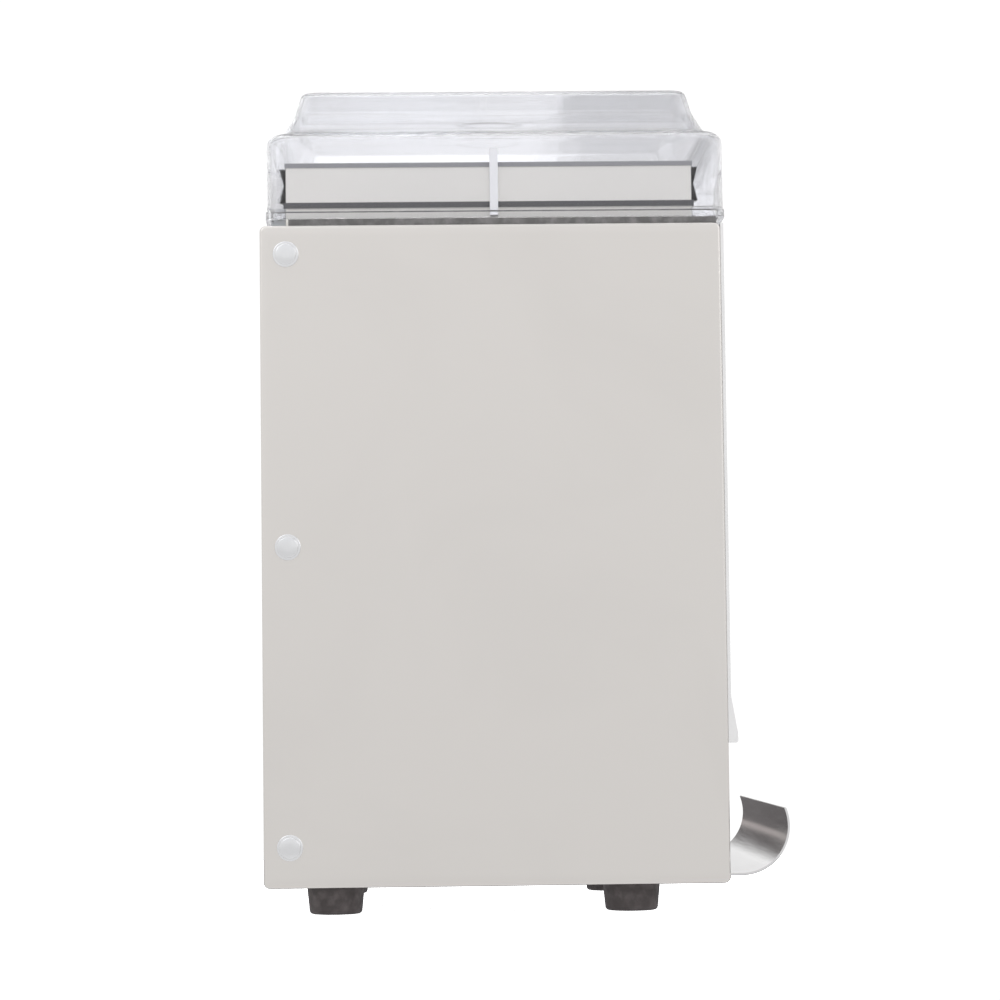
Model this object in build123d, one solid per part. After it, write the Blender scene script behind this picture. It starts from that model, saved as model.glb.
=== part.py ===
from build123d import *
import math
import os

# Cup sealing machine, in millimetres. Everything is laid out with x across the machine, y measured
# back from the front edge of the side panels and z up from the floor. place() then moves it along y,
# so that the origin is on the floor under the middle of the machine's bounding box.

# ---- Driving dimensions ----
body_width = 320.0
body_depth = 337.0
body_bottom = 20.0
body_top = 501.0
lid_bottom = 506.5
lid_top = 605.0
lip_reach = 43.6          # the drip tray's lip, in front of the body
rear_inset = 5.0          # rear cover's front face, ahead of the side panels' rear edges
sheet = 1.2               # stainless casing sheet
thick_sheet = 1.5         # base and tray sheet
frame_sheet = 3.0         # inner frame plates
half_width = body_width / 2
inner_half = half_width - sheet
front_shift = (lip_reach - body_depth) / 2
rear_panel_y = (body_depth - rear_inset, body_depth - rear_inset + thick_sheet)

# Inner frame and cup bay
frame_inner = 110.0       # inner face of each frame plate, from the middle
frame_outer = frame_inner + frame_sheet
frame_front = 12.0
frame_back = 325.0
bay_back = 225.0
tray_floor = 25.4         # underside of the drip tray
tray_clearance_top = 62.0  # underside of the frame above the drip tray

# Cup, carriage and sealing head share one vertical axis
seal_y = 125.0
cup_bore = 45.0
carriage_z = (240.0, 245.0)
film_z = (251.0, 251.2)
film_half = 62.5
head_travel = 37.5
carriage_travel = 190.0
tray_travel = 200.0

# Film path
roll_y, roll_z, roll_radius = 240.0, 485.0, 68.0
take_up_y, take_up_z, take_up_radius = 67.0, 470.0, 25.0
take_up_motor_z = 385.0
spindle_radius = 7.0
saddle_half = 10.0        # half the width of the spindle's open bearings
film_gap = 0.3            # between a roll or roller and the film round it
roller_radius = 9.7
roller_z = film_z[1] + film_gap + roller_radius
rear_roller_y = roll_y + roll_radius - roller_radius
front_roller_y = take_up_y - take_up_radius + roller_radius

# Gears: every pinion and rack has this tooth size
gear_module = 1.5
pinion_teeth = 16
pinion_pitch_radius = gear_module * pinion_teeth / 2
pressure_angle = math.radians(20)
backlash = 0.12
carriage_pinion_y = 112.0
rack_back = 3.5
carriage_pinion_z = carriage_z[0] - rack_back - 1.25 * gear_module - pinion_pitch_radius
head_pinion_z = 365.0
head_rack_y = 158.0
head_pinion_y = head_rack_y + rack_back + 1.25 * gear_module + pinion_pitch_radius
shaft_radius = 4.0
idler_radius = 3.0        # shafts of the guide rollers
running_gap = 0.05        # radial, between a shaft and its bush

# Lid hinge
hinge_y = 325.0
hinge_z = 514.5
hinge_x = 100.0
hinge_pin_radius = 2.0


# ---- Shape helpers ----
def block(x, y, z):
    """A box between two limits on each axis."""
    size = (x[1] - x[0], y[1] - y[0], z[1] - z[0])
    middle = ((x[0] + x[1]) / 2, (y[0] + y[1]) / 2, (z[0] + z[1]) / 2)
    return Pos(*middle) * Box(*size)


def rod_x(radius, x, y, z):
    """A round bar along x between two limits."""
    return Pos((x[0] + x[1]) / 2, y, z) * Rot(0, 90, 0) * Cylinder(radius, x[1] - x[0])


def rod_y(radius, x, y, z):
    """A round bar along y between two limits."""
    return Pos(x, (y[0] + y[1]) / 2, z) * Rot(90, 0, 0) * Cylinder(radius, y[1] - y[0])


def rod_z(radius, x, y, z):
    """A round bar along z between two limits."""
    return Pos(x, y, (z[0] + z[1]) / 2) * Cylinder(radius, z[1] - z[0])


def side_profile(outline, x):
    """A side outline of closed (y, z) edges or points, pulled along x between two limits."""
    if isinstance(outline, list):
        outline = make_face(Polyline(*outline, close=True))
    return extrude(Plane.YZ.offset(x[0]) * outline, amount=x[1] - x[0])


def mirrored(shape):
    """The same piece on the other side of the machine."""
    return mirror(shape, about=Plane.YZ)


def both_sides(shape):
    """A piece and its mirror image, kept as two solids."""
    return [shape, mirrored(shape)]


def hex_prism(across_flats, height):
    """A hexagonal head standing on z = 0."""
    return extrude(RegularPolygon(across_flats / 2, 6, major_radius=False), amount=height)


def spur_gear(face_width):
    """A pinion with involute teeth, its axis along z and a tooth pointing along +x."""
    base = pinion_pitch_radius * math.cos(pressure_angle)
    root = pinion_pitch_radius - 1.25 * gear_module
    tip = pinion_pitch_radius + gear_module
    half_tooth = math.pi / (2 * pinion_teeth) - backlash / pinion_pitch_radius
    involute_at_pitch = math.tan(pressure_angle) - pressure_angle

    def half_angle(radius):
        if radius <= base:
            return half_tooth + involute_at_pitch
        angle = math.acos(base / radius)
        return half_tooth + involute_at_pitch - (math.tan(angle) - angle)

    flank_steps = 4
    radii = [root] + [base + (tip - base) * i / flank_steps for i in range(flank_steps + 1)]
    points = []
    for tooth in range(pinion_teeth):
        middle = 2 * math.pi * tooth / pinion_teeth
        rising = [(r, middle - half_angle(r)) for r in radii]
        falling = [(r, middle + half_angle(r)) for r in reversed(radii)]
        points += [(r * math.cos(a), r * math.sin(a)) for r, a in rising + falling]
    return extrude(make_face(Polyline(*points, close=True)), amount=face_width)


def toothed_rack(start, end, space_at, face_width):
    """A rack along x from start to end with a tooth space centred on space_at, teeth pointing to -y."""
    pitch = math.pi * gear_module
    addendum = gear_module
    dedendum = 1.25 * gear_module
    lean = math.tan(pressure_angle)
    half_at_pitch = pitch / 4 - backlash
    half_tip = half_at_pitch - addendum * lean
    half_root = half_at_pitch + dedendum * lean
    depth = addendum + dedendum
    first = math.ceil((start + half_root - space_at) / pitch - 0.5)
    last = math.floor((end - half_root - space_at) / pitch - 0.5)
    points = [(start, rack_back + depth), (start, depth)]
    for index in range(first, last + 1):
        middle = space_at + (index + 0.5) * pitch
        points += [(middle - half_root, depth), (middle - half_tip, 0)]
        points += [(middle + half_tip, 0), (middle + half_root, depth)]
    points += [(end, depth), (end, rack_back + depth)]
    return extrude(make_face(Polyline(*points, close=True)), amount=face_width)


def gear_motor(radius, length):
    """A flat synchronous gear motor along +z, with its mounting plate at z = 0."""
    plate_height = 2.0
    cap_height = 4.0
    body = Cylinder(radius, length, align=(Align.CENTER, Align.CENTER, Align.MIN))
    body = chamfer(body.faces().sort_by(Axis.Z)[-1].edges(), cap_height / 2)
    ear = Pos(0, 0, plate_height / 2) * Box(2 * radius + 12, 16, plate_height)
    terminal = Pos(radius - 2, 0, length / 2) * Box(10, 18, 10)
    bore = Cylinder(shaft_radius + running_gap, length * 0.8, align=(Align.CENTER, Align.CENTER, Align.MIN))
    return body + ear + terminal - bore


def place(shape):
    """Move a piece, or a list of pieces, from the front-edge layout to the machine's origin."""
    solids = shape if isinstance(shape, list) else [shape]
    moved = [Pos(0, front_shift, 0) * solid for solid in solids]
    return moved[0] if len(moved) == 1 else Compound(children=moved)


# ---- Casing ----
def side_panel():
    """Right-hand casing panel with folded front, top, bottom and rear returns."""
    corner = 4.4
    front_return = 45.0
    top_return = 6.0
    bottom_return = 18.0
    rear_return = 12.0
    tray_opening_top = 52.0
    outline = Pos(body_depth / 2, (body_bottom + body_top) / 2) * RectangleRounded(
        body_depth, body_top - body_bottom, corner
    )
    skin = side_profile(outline, (inner_half, half_width))
    fold_gap = corner + 1
    z_range = (tray_opening_top, body_top - fold_gap)
    front = block((inner_half - front_return, inner_half), (0, sheet), z_range)
    y_range = (fold_gap, body_depth - fold_gap)
    top = block((inner_half - top_return, inner_half), y_range, (body_top - sheet, body_top))
    bottom = block((inner_half - bottom_return, inner_half), y_range, (body_bottom, body_bottom + sheet))
    z_range = (body_bottom + fold_gap + 2, body_top - fold_gap)
    rear_y = (rear_panel_y[0] - sheet, rear_panel_y[0])
    rear = block((inner_half - rear_return, inner_half), rear_y, z_range)
    return skin + front + top + bottom + rear


def side_screw(y, z):
    """Large faceted cap screw with a washer face, against the right-hand panel."""
    washer_radius = 9.5
    washer_height = 0.8
    across_flats = 15.5
    head_height = 2.4
    washer = rod_x(washer_radius, (half_width, half_width + washer_height), y, z)
    head = Pos(half_width + washer_height, y, z) * Rot(0, 90, 0) * hex_prism(across_flats, head_height)
    head = chamfer(head.faces().sort_by(Axis.X)[-1].edges(), head_height / 3)
    return washer + head


def side_screws():
    """Three cap screws near the rear edge of each side panel."""
    edge_distance = 19.0
    heights = (49.0, 266.0, 480.0)
    screws = [side_screw(body_depth - edge_distance, z) for z in heights]
    return screws + [mirrored(screw) for screw in screws]


fan_x, fan_z, fan_size = 60.0, 170.0, 60.0
inlet_x, inlet_z = -72.0, 92.0
inlet_half = (14.0, 10.0)          # half width and half height of the socket's shell
rocker_x, rocker_z = -72.0, 140.0
rocker_half = (10.5, 7.0)          # half width and half height of the switch's shell
fuse_x, fuse_z, fuse_radius = -28.0, 92.0, 6.1
rear_panel_bottom = body_bottom + 7.3
rear_screw_places = [(x, z) for x in (-151.0, 151.0) for z in (60.0, 264.0, 470.0)]


def rear_panel():
    """Rear cover with vent slots, the fan opening and the power fittings' cut-outs."""
    edge = inner_half - 0.3
    panel = block((-edge, edge), rear_panel_y, (rear_panel_bottom, body_top))
    through = (rear_panel_y[0] - 1, rear_panel_y[1] + 1)
    slot_rows = 9
    slot_pitch = 9.0
    lowest_slot = 330.0
    slot = SlotOverall(56, 3.6)
    for x in (-62, 62):
        for row in range(slot_rows):
            place_at = Plane.XZ.offset(-through[1]) * Pos(x, lowest_slot + row * slot_pitch)
            panel -= extrude(place_at * slot, amount=4)
    panel -= rod_y(fan_size / 2 - 3, fan_x, through, fan_z)
    gap = 0.2
    for x, z, half in ((inlet_x, inlet_z, inlet_half), (rocker_x, rocker_z, rocker_half)):
        wide, high = half[0] + gap, half[1] + gap
        panel -= block((x - wide, x + wide), through, (z - high, z + high))
    return panel - rod_y(fuse_radius + gap / 2, fuse_x, through, fuse_z)


def rear_screws():
    """Pan head screws of the rear cover."""
    screws = []
    head_radius = 4.2
    head_y = (rear_panel_y[1], body_depth)
    slot_depth = 1.2
    for x, z in rear_screw_places:
        head = rod_y(head_radius, x, head_y, z)
        head = fillet(head.faces().sort_by(Axis.Y)[-1].edges(), 1.6)
        slot = block((x - 0.5, x + 0.5), (head_y[1] - slot_depth, head_y[1] + 1), (z - 3, z + 3))
        screws.append(head - slot)
    return screws


def base_pan():
    """Folded base that carries the feet, the tray runners and the frame."""
    floor_z = (body_bottom + sheet, body_bottom + sheet + thick_sheet)
    side = inner_half - 0.2
    back = rear_panel_y[0] - 3
    wall_z = (floor_z[0], 60.0)
    floor = block((-side, side), (2, back), floor_z)
    wall = block((side - thick_sheet, side), (bay_back + 5, back), wall_z)
    rear = block((-side, side), (back - thick_sheet, back), wall_z)
    return floor + wall + mirrored(wall) + rear


foot_places = [(x, y) for x in (-128.0, 128.0) for y in (70.0, 286.0)]
foot_boss_top = body_bottom + sheet
foot_screw_head = 4.5     # radii
foot_screw_shank = 2.5
foot_screw_seat = 9.0     # height of the head's upper face


def rubber_feet():
    """Four tapered rubber feet with a recess for the screw head."""
    feet = []
    top_radius = 20.8
    bottom_radius = 18.8
    boss_radius = 10.0
    for x, y in foot_places:
        foot = Pos(x, y, body_bottom / 2) * Cone(bottom_radius, top_radius, body_bottom)
        foot = fillet(foot.faces().sort_by(Axis.Z)[0].edges(), 2.5)
        foot += rod_z(boss_radius, x, y, (body_bottom - 1, foot_boss_top))
        recess = rod_z(foot_screw_head + 1.5, x, y, (-1, foot_screw_seat))
        hole = rod_z(foot_screw_shank + 0.1, x, y, (foot_screw_seat - 1, foot_boss_top + 1))
        feet.append(foot - recess - hole)
    return feet


def foot_screws():
    """Screws that hold the feet to the base pan."""
    screws = []
    for x, y in foot_places:
        head = rod_z(foot_screw_head, x, y, (foot_screw_seat - 3, foot_screw_seat))
        shank = rod_z(foot_screw_shank, x, y, (foot_screw_seat, foot_boss_top - 0.1))
        screws.append(head + shank)
    return screws


# ---- Front ----
fascia_front = -2.4
fascia_bottom = 121.0
fascia_half = half_width - 1
flare_reach = -7.3
panel_recess = 1.0
panel_half, panel_z = 82.0, (398.0, 480.0)
window_half, window_z = 34.0, (442.0, 470.0)
key_places = [-54.0, -18.0, 18.0, 54.0]
key_z = 418.0
key_radius = 6.5
key_names = ["mode", "manual", "lower", "raise"]


def front_fascia():
    """Moulded front with the cup arch, a flared lower edge and the control recess."""
    profile = [
        (0, fascia_bottom),
        (flare_reach, fascia_bottom),
        (flare_reach, fascia_bottom + 4),
        (flare_reach + 2.6, fascia_bottom + 14),
        (fascia_front - 0.6, fascia_bottom + 27),
        (fascia_front, fascia_bottom + 38),
        (fascia_front, body_top),
        (0, body_top),
    ]
    fascia = side_profile(profile, (-fascia_half, fascia_half))
    arch_half = 112.0
    arch_top = 270.0
    arch_corner = 24.0
    arch = block((-arch_half, arch_half), (-20, 5), (fascia_bottom - 20, arch_top))
    top_edges = arch.faces().sort_by(Axis.Z)[-1].edges().filter_by(Axis.Y)
    fascia -= fillet(top_edges, arch_corner)
    recess_y = (fascia_front - 1, fascia_front + panel_recess)
    fascia -= block((-panel_half, panel_half), recess_y, panel_z)
    window_ledge = 2.0
    window_x = (-window_half + window_ledge, window_half - window_ledge)
    fascia -= block(window_x, (-5, 1), (window_z[0] + window_ledge, window_z[1] - window_ledge))
    for x in key_places:
        fascia -= rod_y(key_radius + 0.4, x, (-5, 1), key_z)
    return fascia


def control_panel():
    """Glossy facing plate that sits flush in the fascia's recess."""
    margin = 0.3
    face_y = (fascia_front, fascia_front + panel_recess)
    plate = block((-panel_half + margin, panel_half - margin), face_y, (panel_z[0] + margin, panel_z[1] - margin))
    plate -= block((-window_half, window_half), (-5, 1), window_z)
    for x in key_places:
        plate -= rod_y(key_radius + 0.4, x, (-5, 1), key_z)
    return plate


def display_window():
    """Tinted window over the temperature and count display."""
    gap = 0.1
    half = window_half - gap
    return block((-half, half), (fascia_front, fascia_front + panel_recess), (window_z[0] + gap, window_z[1] - gap))


def key_cap(x):
    """One push key with a retaining flange behind the fascia."""
    cap = rod_y(key_radius, x, (fascia_front - 0.6, 0.4), key_z)
    cap = fillet(cap.faces().sort_by(Axis.Y)[0].edges(), 0.5)
    return cap + rod_y(key_radius + 1.5, x, (0.3, 1.5), key_z)


def control_board():
    """Display board with its key switches, behind the control panel."""
    board_y = (9.0, 10.6)
    board_half = panel_half - 6
    board_z = (panel_z[0] + 4, panel_z[1] - 4)
    board = block((-board_half, board_half), board_y, board_z)
    display_half = window_half - 4
    board += block((-display_half, display_half), (2.0, board_y[0]), (window_z[0] + 3, window_z[1] - 3))
    switch_half = 3.0
    switch_y = (4.6, board_y[0])
    for x in key_places:
        board += block((x - switch_half, x + switch_half), switch_y, (key_z - switch_half, key_z + switch_half))
        board += rod_y(1.6, x, (3.2, switch_y[0]), key_z)
    post_x, post_margin = board_half - 6, 5.0
    for x in (-post_x, post_x):
        for z in (board_z[0] + post_margin, board_z[1] - post_margin):
            board += rod_y(3, x, (0, board_y[0]), z)
    for x in (-45, -15, 15, 45):
        board += block((x - 6, x + 6), (board_y[1], board_y[1] + 4), (426, 436))
    return board


# ---- Frame ----
shaft_places = [
    (take_up_y, take_up_z),
    (take_up_y, take_up_motor_z),
    (carriage_pinion_y, carriage_pinion_z),
    (head_pinion_y, head_pinion_z),
]
bush_radius = shaft_radius + 3
press_gap = 0.05          # radial, so that a fitted bush never cuts into its plate


def frame_plate():
    """Right-hand inner frame plate with an outward shelf over the drip tray."""
    floor = body_bottom + sheet + thick_sheet
    top = body_top - 2.4
    rear_leg = 228.0
    outline = [
        (frame_front, tray_clearance_top),
        (rear_leg, tray_clearance_top),
        (rear_leg, floor),
        (frame_back, floor),
        (frame_back, top),
        (frame_front, top),
    ]
    plate = side_profile(outline, (frame_inner, frame_outer))
    shelf_x = (frame_inner, inner_half - 0.4)
    shelf_z = (tray_clearance_top, tray_clearance_top + thick_sheet)
    plate += block(shelf_x, (frame_front, rear_leg), shelf_z)
    through = (frame_inner - 1, frame_outer + 1)
    for y, z in shaft_places:
        plate -= rod_x(bush_radius, through, y, z)
    for y in (rear_roller_y, front_roller_y):
        plate -= rod_x(idler_radius + running_gap, through, y, roller_z)
    plate -= rod_x(saddle_half, through, roll_y, roll_z)
    plate -= block(through, (roll_y - saddle_half, roll_y + saddle_half), (roll_z, top + 1))
    return plate


def shaft_bushes():
    """Plain bushes that carry the shafts in both frame plates."""
    bushes = []
    for y, z in shaft_places:
        barrel = rod_x(bush_radius - press_gap, (frame_inner - 1, frame_outer + 0.2), y, z)
        bore = rod_x(shaft_radius + running_gap, (frame_inner - 3, frame_outer + 2), y, z)
        bushes += both_sides(barrel - bore)
    return bushes


def roll_saddles():
    """Open-topped bearings that the film roll's spindle drops into."""
    wall = (frame_inner - 1, frame_outer + 1)
    outer = saddle_half - press_gap
    top = body_top - 2.4
    saddle = rod_x(outer, wall, roll_y, roll_z)
    saddle += block(wall, (roll_y - outer, roll_y + outer), (roll_z, top))
    bore = spindle_radius + running_gap
    saddle -= rod_x(bore, (wall[0] - 1, wall[1] + 1), roll_y, roll_z)
    saddle -= block((wall[0] - 1, wall[1] + 1), (roll_y - bore, roll_y + bore), (roll_z, top + 1))
    return both_sides(saddle)


def bay_back_plate():
    """Back wall of the cup bay and the shelf over the electrics."""
    gap = 0.2
    x = (-frame_inner + gap, frame_inner - gap)
    z = (28.5, 232.0)
    wall = block(x, (bay_back, bay_back + sheet), z)
    shelf = block(x, (bay_back, frame_back), (z[1] - sheet, z[1]))
    return wall + shelf


def tray_runners():
    """Two low plastic strips that the drip tray slides on."""
    floor = body_bottom + sheet + thick_sheet
    clearance = 0.3
    return both_sides(block((90, 102), (6, 216), (floor, tray_floor - clearance)))


collar_half = 150.0
collar_y = (20.0, 318.0)
collar_top = 545.8
deck_z = (body_top - sheet - sheet, body_top - sheet)


def film_deck():
    """Top deck with the film openings, and the upstanding collar that the lid covers."""
    gap = 0.3
    deck = block((-inner_half + gap, inner_half - gap), (2.5, rear_panel_y[0] - 0.5), deck_z)
    opening_half = 104.0
    take_up_opening = (32.0, 106.0)
    roll_opening = (166.0, 314.0)
    for y in (take_up_opening, roll_opening):
        deck -= block((-opening_half, opening_half), y, (deck_z[0] - 1, deck_z[1] + 1))
    ring = block((-collar_half, collar_half), collar_y, (deck_z[0], collar_top))
    inner_y = (collar_y[0] + sheet, collar_y[1] - sheet)
    ring -= block((-collar_half + sheet, collar_half - sheet), inner_y, (deck_z[0] - 1, collar_top + 1))
    return deck + ring


def ring_strip(outset, inset, z):
    """A rectangular band round the collar, from inset inside its outer face to outset outside it."""
    outer_y = (collar_y[0] - outset, collar_y[1] + outset)
    inner_y = (collar_y[0] + inset, collar_y[1] - inset)
    band = block((-collar_half - outset, collar_half + outset), outer_y, z)
    return band - block((-collar_half + inset, collar_half - inset), inner_y, (z[0] - 1, z[1] + 1))


def collar_trim():
    """Rubber edging on the collar's top edge."""
    cap = ring_strip(0.8, sheet + 0.8, (collar_top - 1.0, collar_top + 2.4))
    groove = ring_strip(0, sheet, (collar_top - 2, collar_top))
    return cap - groove


def collar_seal():
    """Rubber strip low on the outside of the collar."""
    return ring_strip(1.6, 0, (514.5, 519.0))


def corner_pads():
    """Waisted rubber pads on the collar's end walls, beside each corner."""
    pads = []
    low, high = 519.5, 544.0
    thick, waist = 4.6, 1.6
    x = (collar_half - 9, collar_half - 1)
    for end_y, out in ((collar_y[0], -1), (collar_y[1], 1)):
        outline = [
            (end_y, low),
            (end_y + out * thick, low),
            (end_y + out * waist, (low + high) / 2),
            (end_y + out * thick, high),
            (end_y, high),
        ]
        pads += both_sides(side_profile(outline, x))
    return pads


def lid_gasket():
    """Foam strip that the lid's front and side edges rest on."""
    z = (body_top, lid_bottom - 0.3)
    x = (152.2, 156.4)
    y = (2.6, 316.0)
    front_y = (y[0], y[0] + x[1] - x[0])
    side = block(x, y, z)
    front = block((-x[1], x[1]), front_y, z)
    foot = block((-x[0], x[0]), front_y, (deck_z[1], z[0]))
    return side + mirrored(side) + front + foot


# ---- Lid ----
lid_wall = 2.6
lid_half = 157.5
lid_y = (-3.6, 332.0)
lid_ledge = 567.5
lid_shoulder = 14.0
lid_step = 17.0
lid_corner = 12.0


def lid_form(offset):
    """The lid's solid form, shrunk by offset: a rounded box with a tapered raised top."""
    middle = (0, (lid_y[0] + lid_y[1]) / 2)
    wide = 2 * (lid_half - offset)
    long = lid_y[1] - lid_y[0] - 2 * offset
    low = lid_bottom if offset == 0 else lid_bottom - 1
    box = RectangleRounded(wide, long, lid_corner - offset)
    lower = extrude(Pos(middle[0], middle[1], low) * box, amount=lid_ledge - offset - low)
    lower = fillet(lower.faces().sort_by(Axis.Z)[-1].edges(), lid_shoulder - offset)
    top_inset = 8.3
    taper = math.degrees(math.atan2(top_inset, lid_top - lid_ledge))
    start = lid_ledge - offset - 8
    foot_flare = 4.2
    cap_wide = wide - 2 * lid_step + foot_flare
    cap_long = long - 2 * lid_step + foot_flare
    cap = Pos(middle[0], middle[1], start) * RectangleRounded(cap_wide, cap_long, lid_corner)
    upper = extrude(cap, amount=lid_top - offset - start, taper=taper)
    upper = fillet(upper.faces().sort_by(Axis.Z)[-1].edges(), 5.0 - offset / 2)
    return lower + upper


def clear_lid():
    """Moulded clear lid with a rim, a rib inside each side wall and two hinge notches."""
    lid = lid_form(0)
    rim = 1.0
    rim_height = 6.5
    rim_shape = RectangleRounded(2 * (lid_half + rim), lid_y[1] - lid_y[0] + 2 * rim, lid_corner + rim)
    lid += extrude(Pos(0, (lid_y[0] + lid_y[1]) / 2, lid_bottom) * rim_shape, amount=rim_height)
    lid -= lid_form(lid_wall)
    rib_x = (lid_half - lid_wall - 2, lid_half - 1)
    rib_y = (163.4, 170.6)
    rib = block(rib_x, rib_y, (lid_bottom + 1, lid_ledge - 7.5))
    lid = lid + rib + mirrored(rib)
    notch_half = 12.0
    notch_top = hinge_z + 7.5
    for side in (-1, 1):
        x = side * hinge_x
        lid -= block((x - notch_half, x + notch_half), (hinge_y, lid_y[1] + 2), (lid_bottom - 1, notch_top))
    return lid


def hinge_lugs():
    """Arms bonded inside the lid's rear wall that turn on the hinge pins."""
    inner = lid_y[1] - lid_wall
    outline = [
        (hinge_y - 2, hinge_z + 3),
        (hinge_y + 3, hinge_z - 2),
        (inner, hinge_z + 9),
        (inner, hinge_z + 30),
        (inner - 4, hinge_z + 30),
    ]
    x = (hinge_x - 4.7, hinge_x + 4.7)
    arm = side_profile(outline, x) + rod_x(4.8, x, hinge_y, hinge_z)
    arm -= rod_x(hinge_pin_radius + running_gap, (x[0] - 1, x[1] + 1), hinge_y, hinge_z)
    return both_sides(arm)


def hinge_brackets():
    """Forked brackets on the deck, one for each lug."""
    outer, inner = 8.5, 5.2
    x = (hinge_x - outer, hinge_x + outer)
    half = 5.4
    bracket = block(x, (hinge_y - half, hinge_y + half), (deck_z[1], hinge_z))
    bracket += rod_x(half, x, hinge_y, hinge_z)
    bracket -= block((hinge_x - inner, hinge_x + inner), (hinge_y - 9, hinge_y + 9), (deck_z[1] + sheet, hinge_z + 9))
    bracket -= rod_x(hinge_pin_radius, (x[0] - 1, x[1] + 1), hinge_y, hinge_z)
    return both_sides(bracket)


def hinge_pins():
    """Pins fixed in the brackets."""
    return both_sides(rod_x(hinge_pin_radius, (hinge_x - 9.5, hinge_x + 9.5), hinge_y, hinge_z))


# ---- Drip tray ----
lip_radius = 35.2
lip_centre = (-8.4, tray_floor + lip_radius)
lip_end_angle = 21.0


def drip_tray():
    """Full-width tray whose front edge rolls up into a scoop-shaped lip."""
    outer = lip_radius
    inner = lip_radius - thick_sheet
    centre = Vector(*lip_centre)
    start, end = 270.0, 180.0 - lip_end_angle

    def on_arc(radius, angle):
        radians = math.radians(angle)
        return (centre.X + radius * math.cos(radians), centre.Y + radius * math.sin(radians))

    middle = (start + end) / 2
    back = 216.0
    outer_arc = ThreePointArc(on_arc(outer, start), on_arc(outer, middle), on_arc(outer, end))
    tip = Line(on_arc(outer, end), on_arc(inner, end))
    inner_arc = ThreePointArc(on_arc(inner, end), on_arc(inner, middle), on_arc(inner, start))
    top = Line(on_arc(inner, start), (back, tray_floor + thick_sheet))
    rear = Line((back, tray_floor + thick_sheet), (back, tray_floor))
    bottom = Line((back, tray_floor), on_arc(outer, start))
    profile = make_face(Curve() + [outer_arc, tip, inner_arc, top, rear, bottom])
    lip_half = half_width - 1.5
    gutter = side_profile(profile, (-lip_half, lip_half))
    tray_half = inner_half - 2.8
    trim_y = (1.5, back + 1)
    for side in (-1, 1):
        edge = (tray_half, half_width) if side > 0 else (-half_width, -tray_half)
        gutter -= block(edge, trim_y, (tray_floor - 1, tray_floor + 3))
    wall_top = 50.0
    wall = block((tray_half - thick_sheet, tray_half), (1.5, back), (tray_floor, wall_top))
    back_wall = block((-tray_half, tray_half), (back - thick_sheet, back), (tray_floor, wall_top))
    return gutter + wall + mirrored(wall) + back_wall


def drip_grid():
    """Wire-bar grid that cups stand over: bars front to back on three cross rails with end legs."""
    y = (4.0, 213.0)
    rail_z = (42.5, 45.5)
    bar_z = (rail_z[1], 48.5)
    leg_foot = tray_floor + thick_sheet
    outer = inner_half - 6.0
    edge = 2.4
    bar_width = 5.0
    bar_pitch = 16.0
    bars_each_side = 9
    rail_width = 3.0
    middles = [index * bar_pitch for index in range(-bars_each_side, bars_each_side + 1)]
    bars = [block((x - bar_width / 2, x + bar_width / 2), y, bar_z) for x in middles]
    bars += both_sides(block((outer - edge, outer), y, bar_z))
    for start in (7.0, 107.0, 207.0):
        rail_y = (start, start + rail_width)
        bars.append(block((-outer + edge, outer - edge), rail_y, rail_z))
        bars += both_sides(block((outer - edge, outer), rail_y, (leg_foot, bar_z[0])))
    return bars


# ---- Cup carriage ----
rail_x = (97.0, frame_inner)
slide_half = frame_inner - 3.4
carriage_hole = 59.0      # radius of the hole that the cup ring hangs in
ring_top = carriage_z[1] + 3.6


def carriage_rails():
    """Channels on the frame plates that hold the carriage's edges."""
    z = (carriage_z[0] - 4, carriage_z[1] + 4)
    y = (frame_front, 315.0)
    rail = block(rail_x, y, z)
    gap = 0.4
    slot_z = (carriage_z[0] - gap, carriage_z[1] + gap)
    rail -= block((rail_x[0] - 1, slide_half + gap), (y[0] - 1, y[1] + 1), slot_z)
    return both_sides(rail)


def carriage_plate():
    """Sliding plate with the ring's seat and two long rear arms."""
    y = (30.0, 312.0)
    arms_start = 200.0
    arm_inner = 84.0
    plate = block((-slide_half, slide_half), y, carriage_z)
    plate -= block((-arm_inner, arm_inner), (arms_start, y[1] + 1), (carriage_z[0] - 1, carriage_z[1] + 1))
    return plate - rod_z(carriage_hole, 0, seal_y, (carriage_z[0] - 1, carriage_z[1] + 1))


def carriage_front():
    """Moulded front bar of the carriage, pulled or pushed by hand."""
    bar = block((-95, 95), (-1.5, 30), (235, 249.5))
    bar = fillet(bar.edges().filter_by(Axis.Z), 4)
    return fillet(bar.faces().sort_by(Axis.Y)[0].edges().filter_by(Axis.X), 2)


def cup_ring():
    """Aluminium ring that a cup drops into, with a step for its rim."""
    flange_radius = 67.0
    rim_seat_radius = 49.0
    ring = rod_z(flange_radius, 0, seal_y, (carriage_z[1], ring_top))
    ring += rod_z(carriage_hole - 0.2, 0, seal_y, (carriage_z[0] - 4, carriage_z[1]))
    ring -= rod_z(cup_bore, 0, seal_y, (carriage_z[0] - 9, ring_top + 1))
    return ring - rod_z(rim_seat_radius, 0, seal_y, (ring_top - 2.2, ring_top + 1))


def ring_seal():
    """Silicone ring under the cup's rim."""
    seal = rod_z(54, 0, seal_y, (ring_top, ring_top + 1.4))
    return seal - rod_z(49.2, 0, seal_y, (ring_top - 1, ring_top + 2))


def carriage_rack():
    """Rack under the carriage's right arm, teeth down."""
    rack = toothed_rack(100, 310, carriage_pinion_y, 10)
    bottom = carriage_z[0] - rack_back - 2.25 * gear_module
    return Pos(86, 0, bottom) * Rot(0, 0, 90) * Rot(90, 0, 0) * rack


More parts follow.
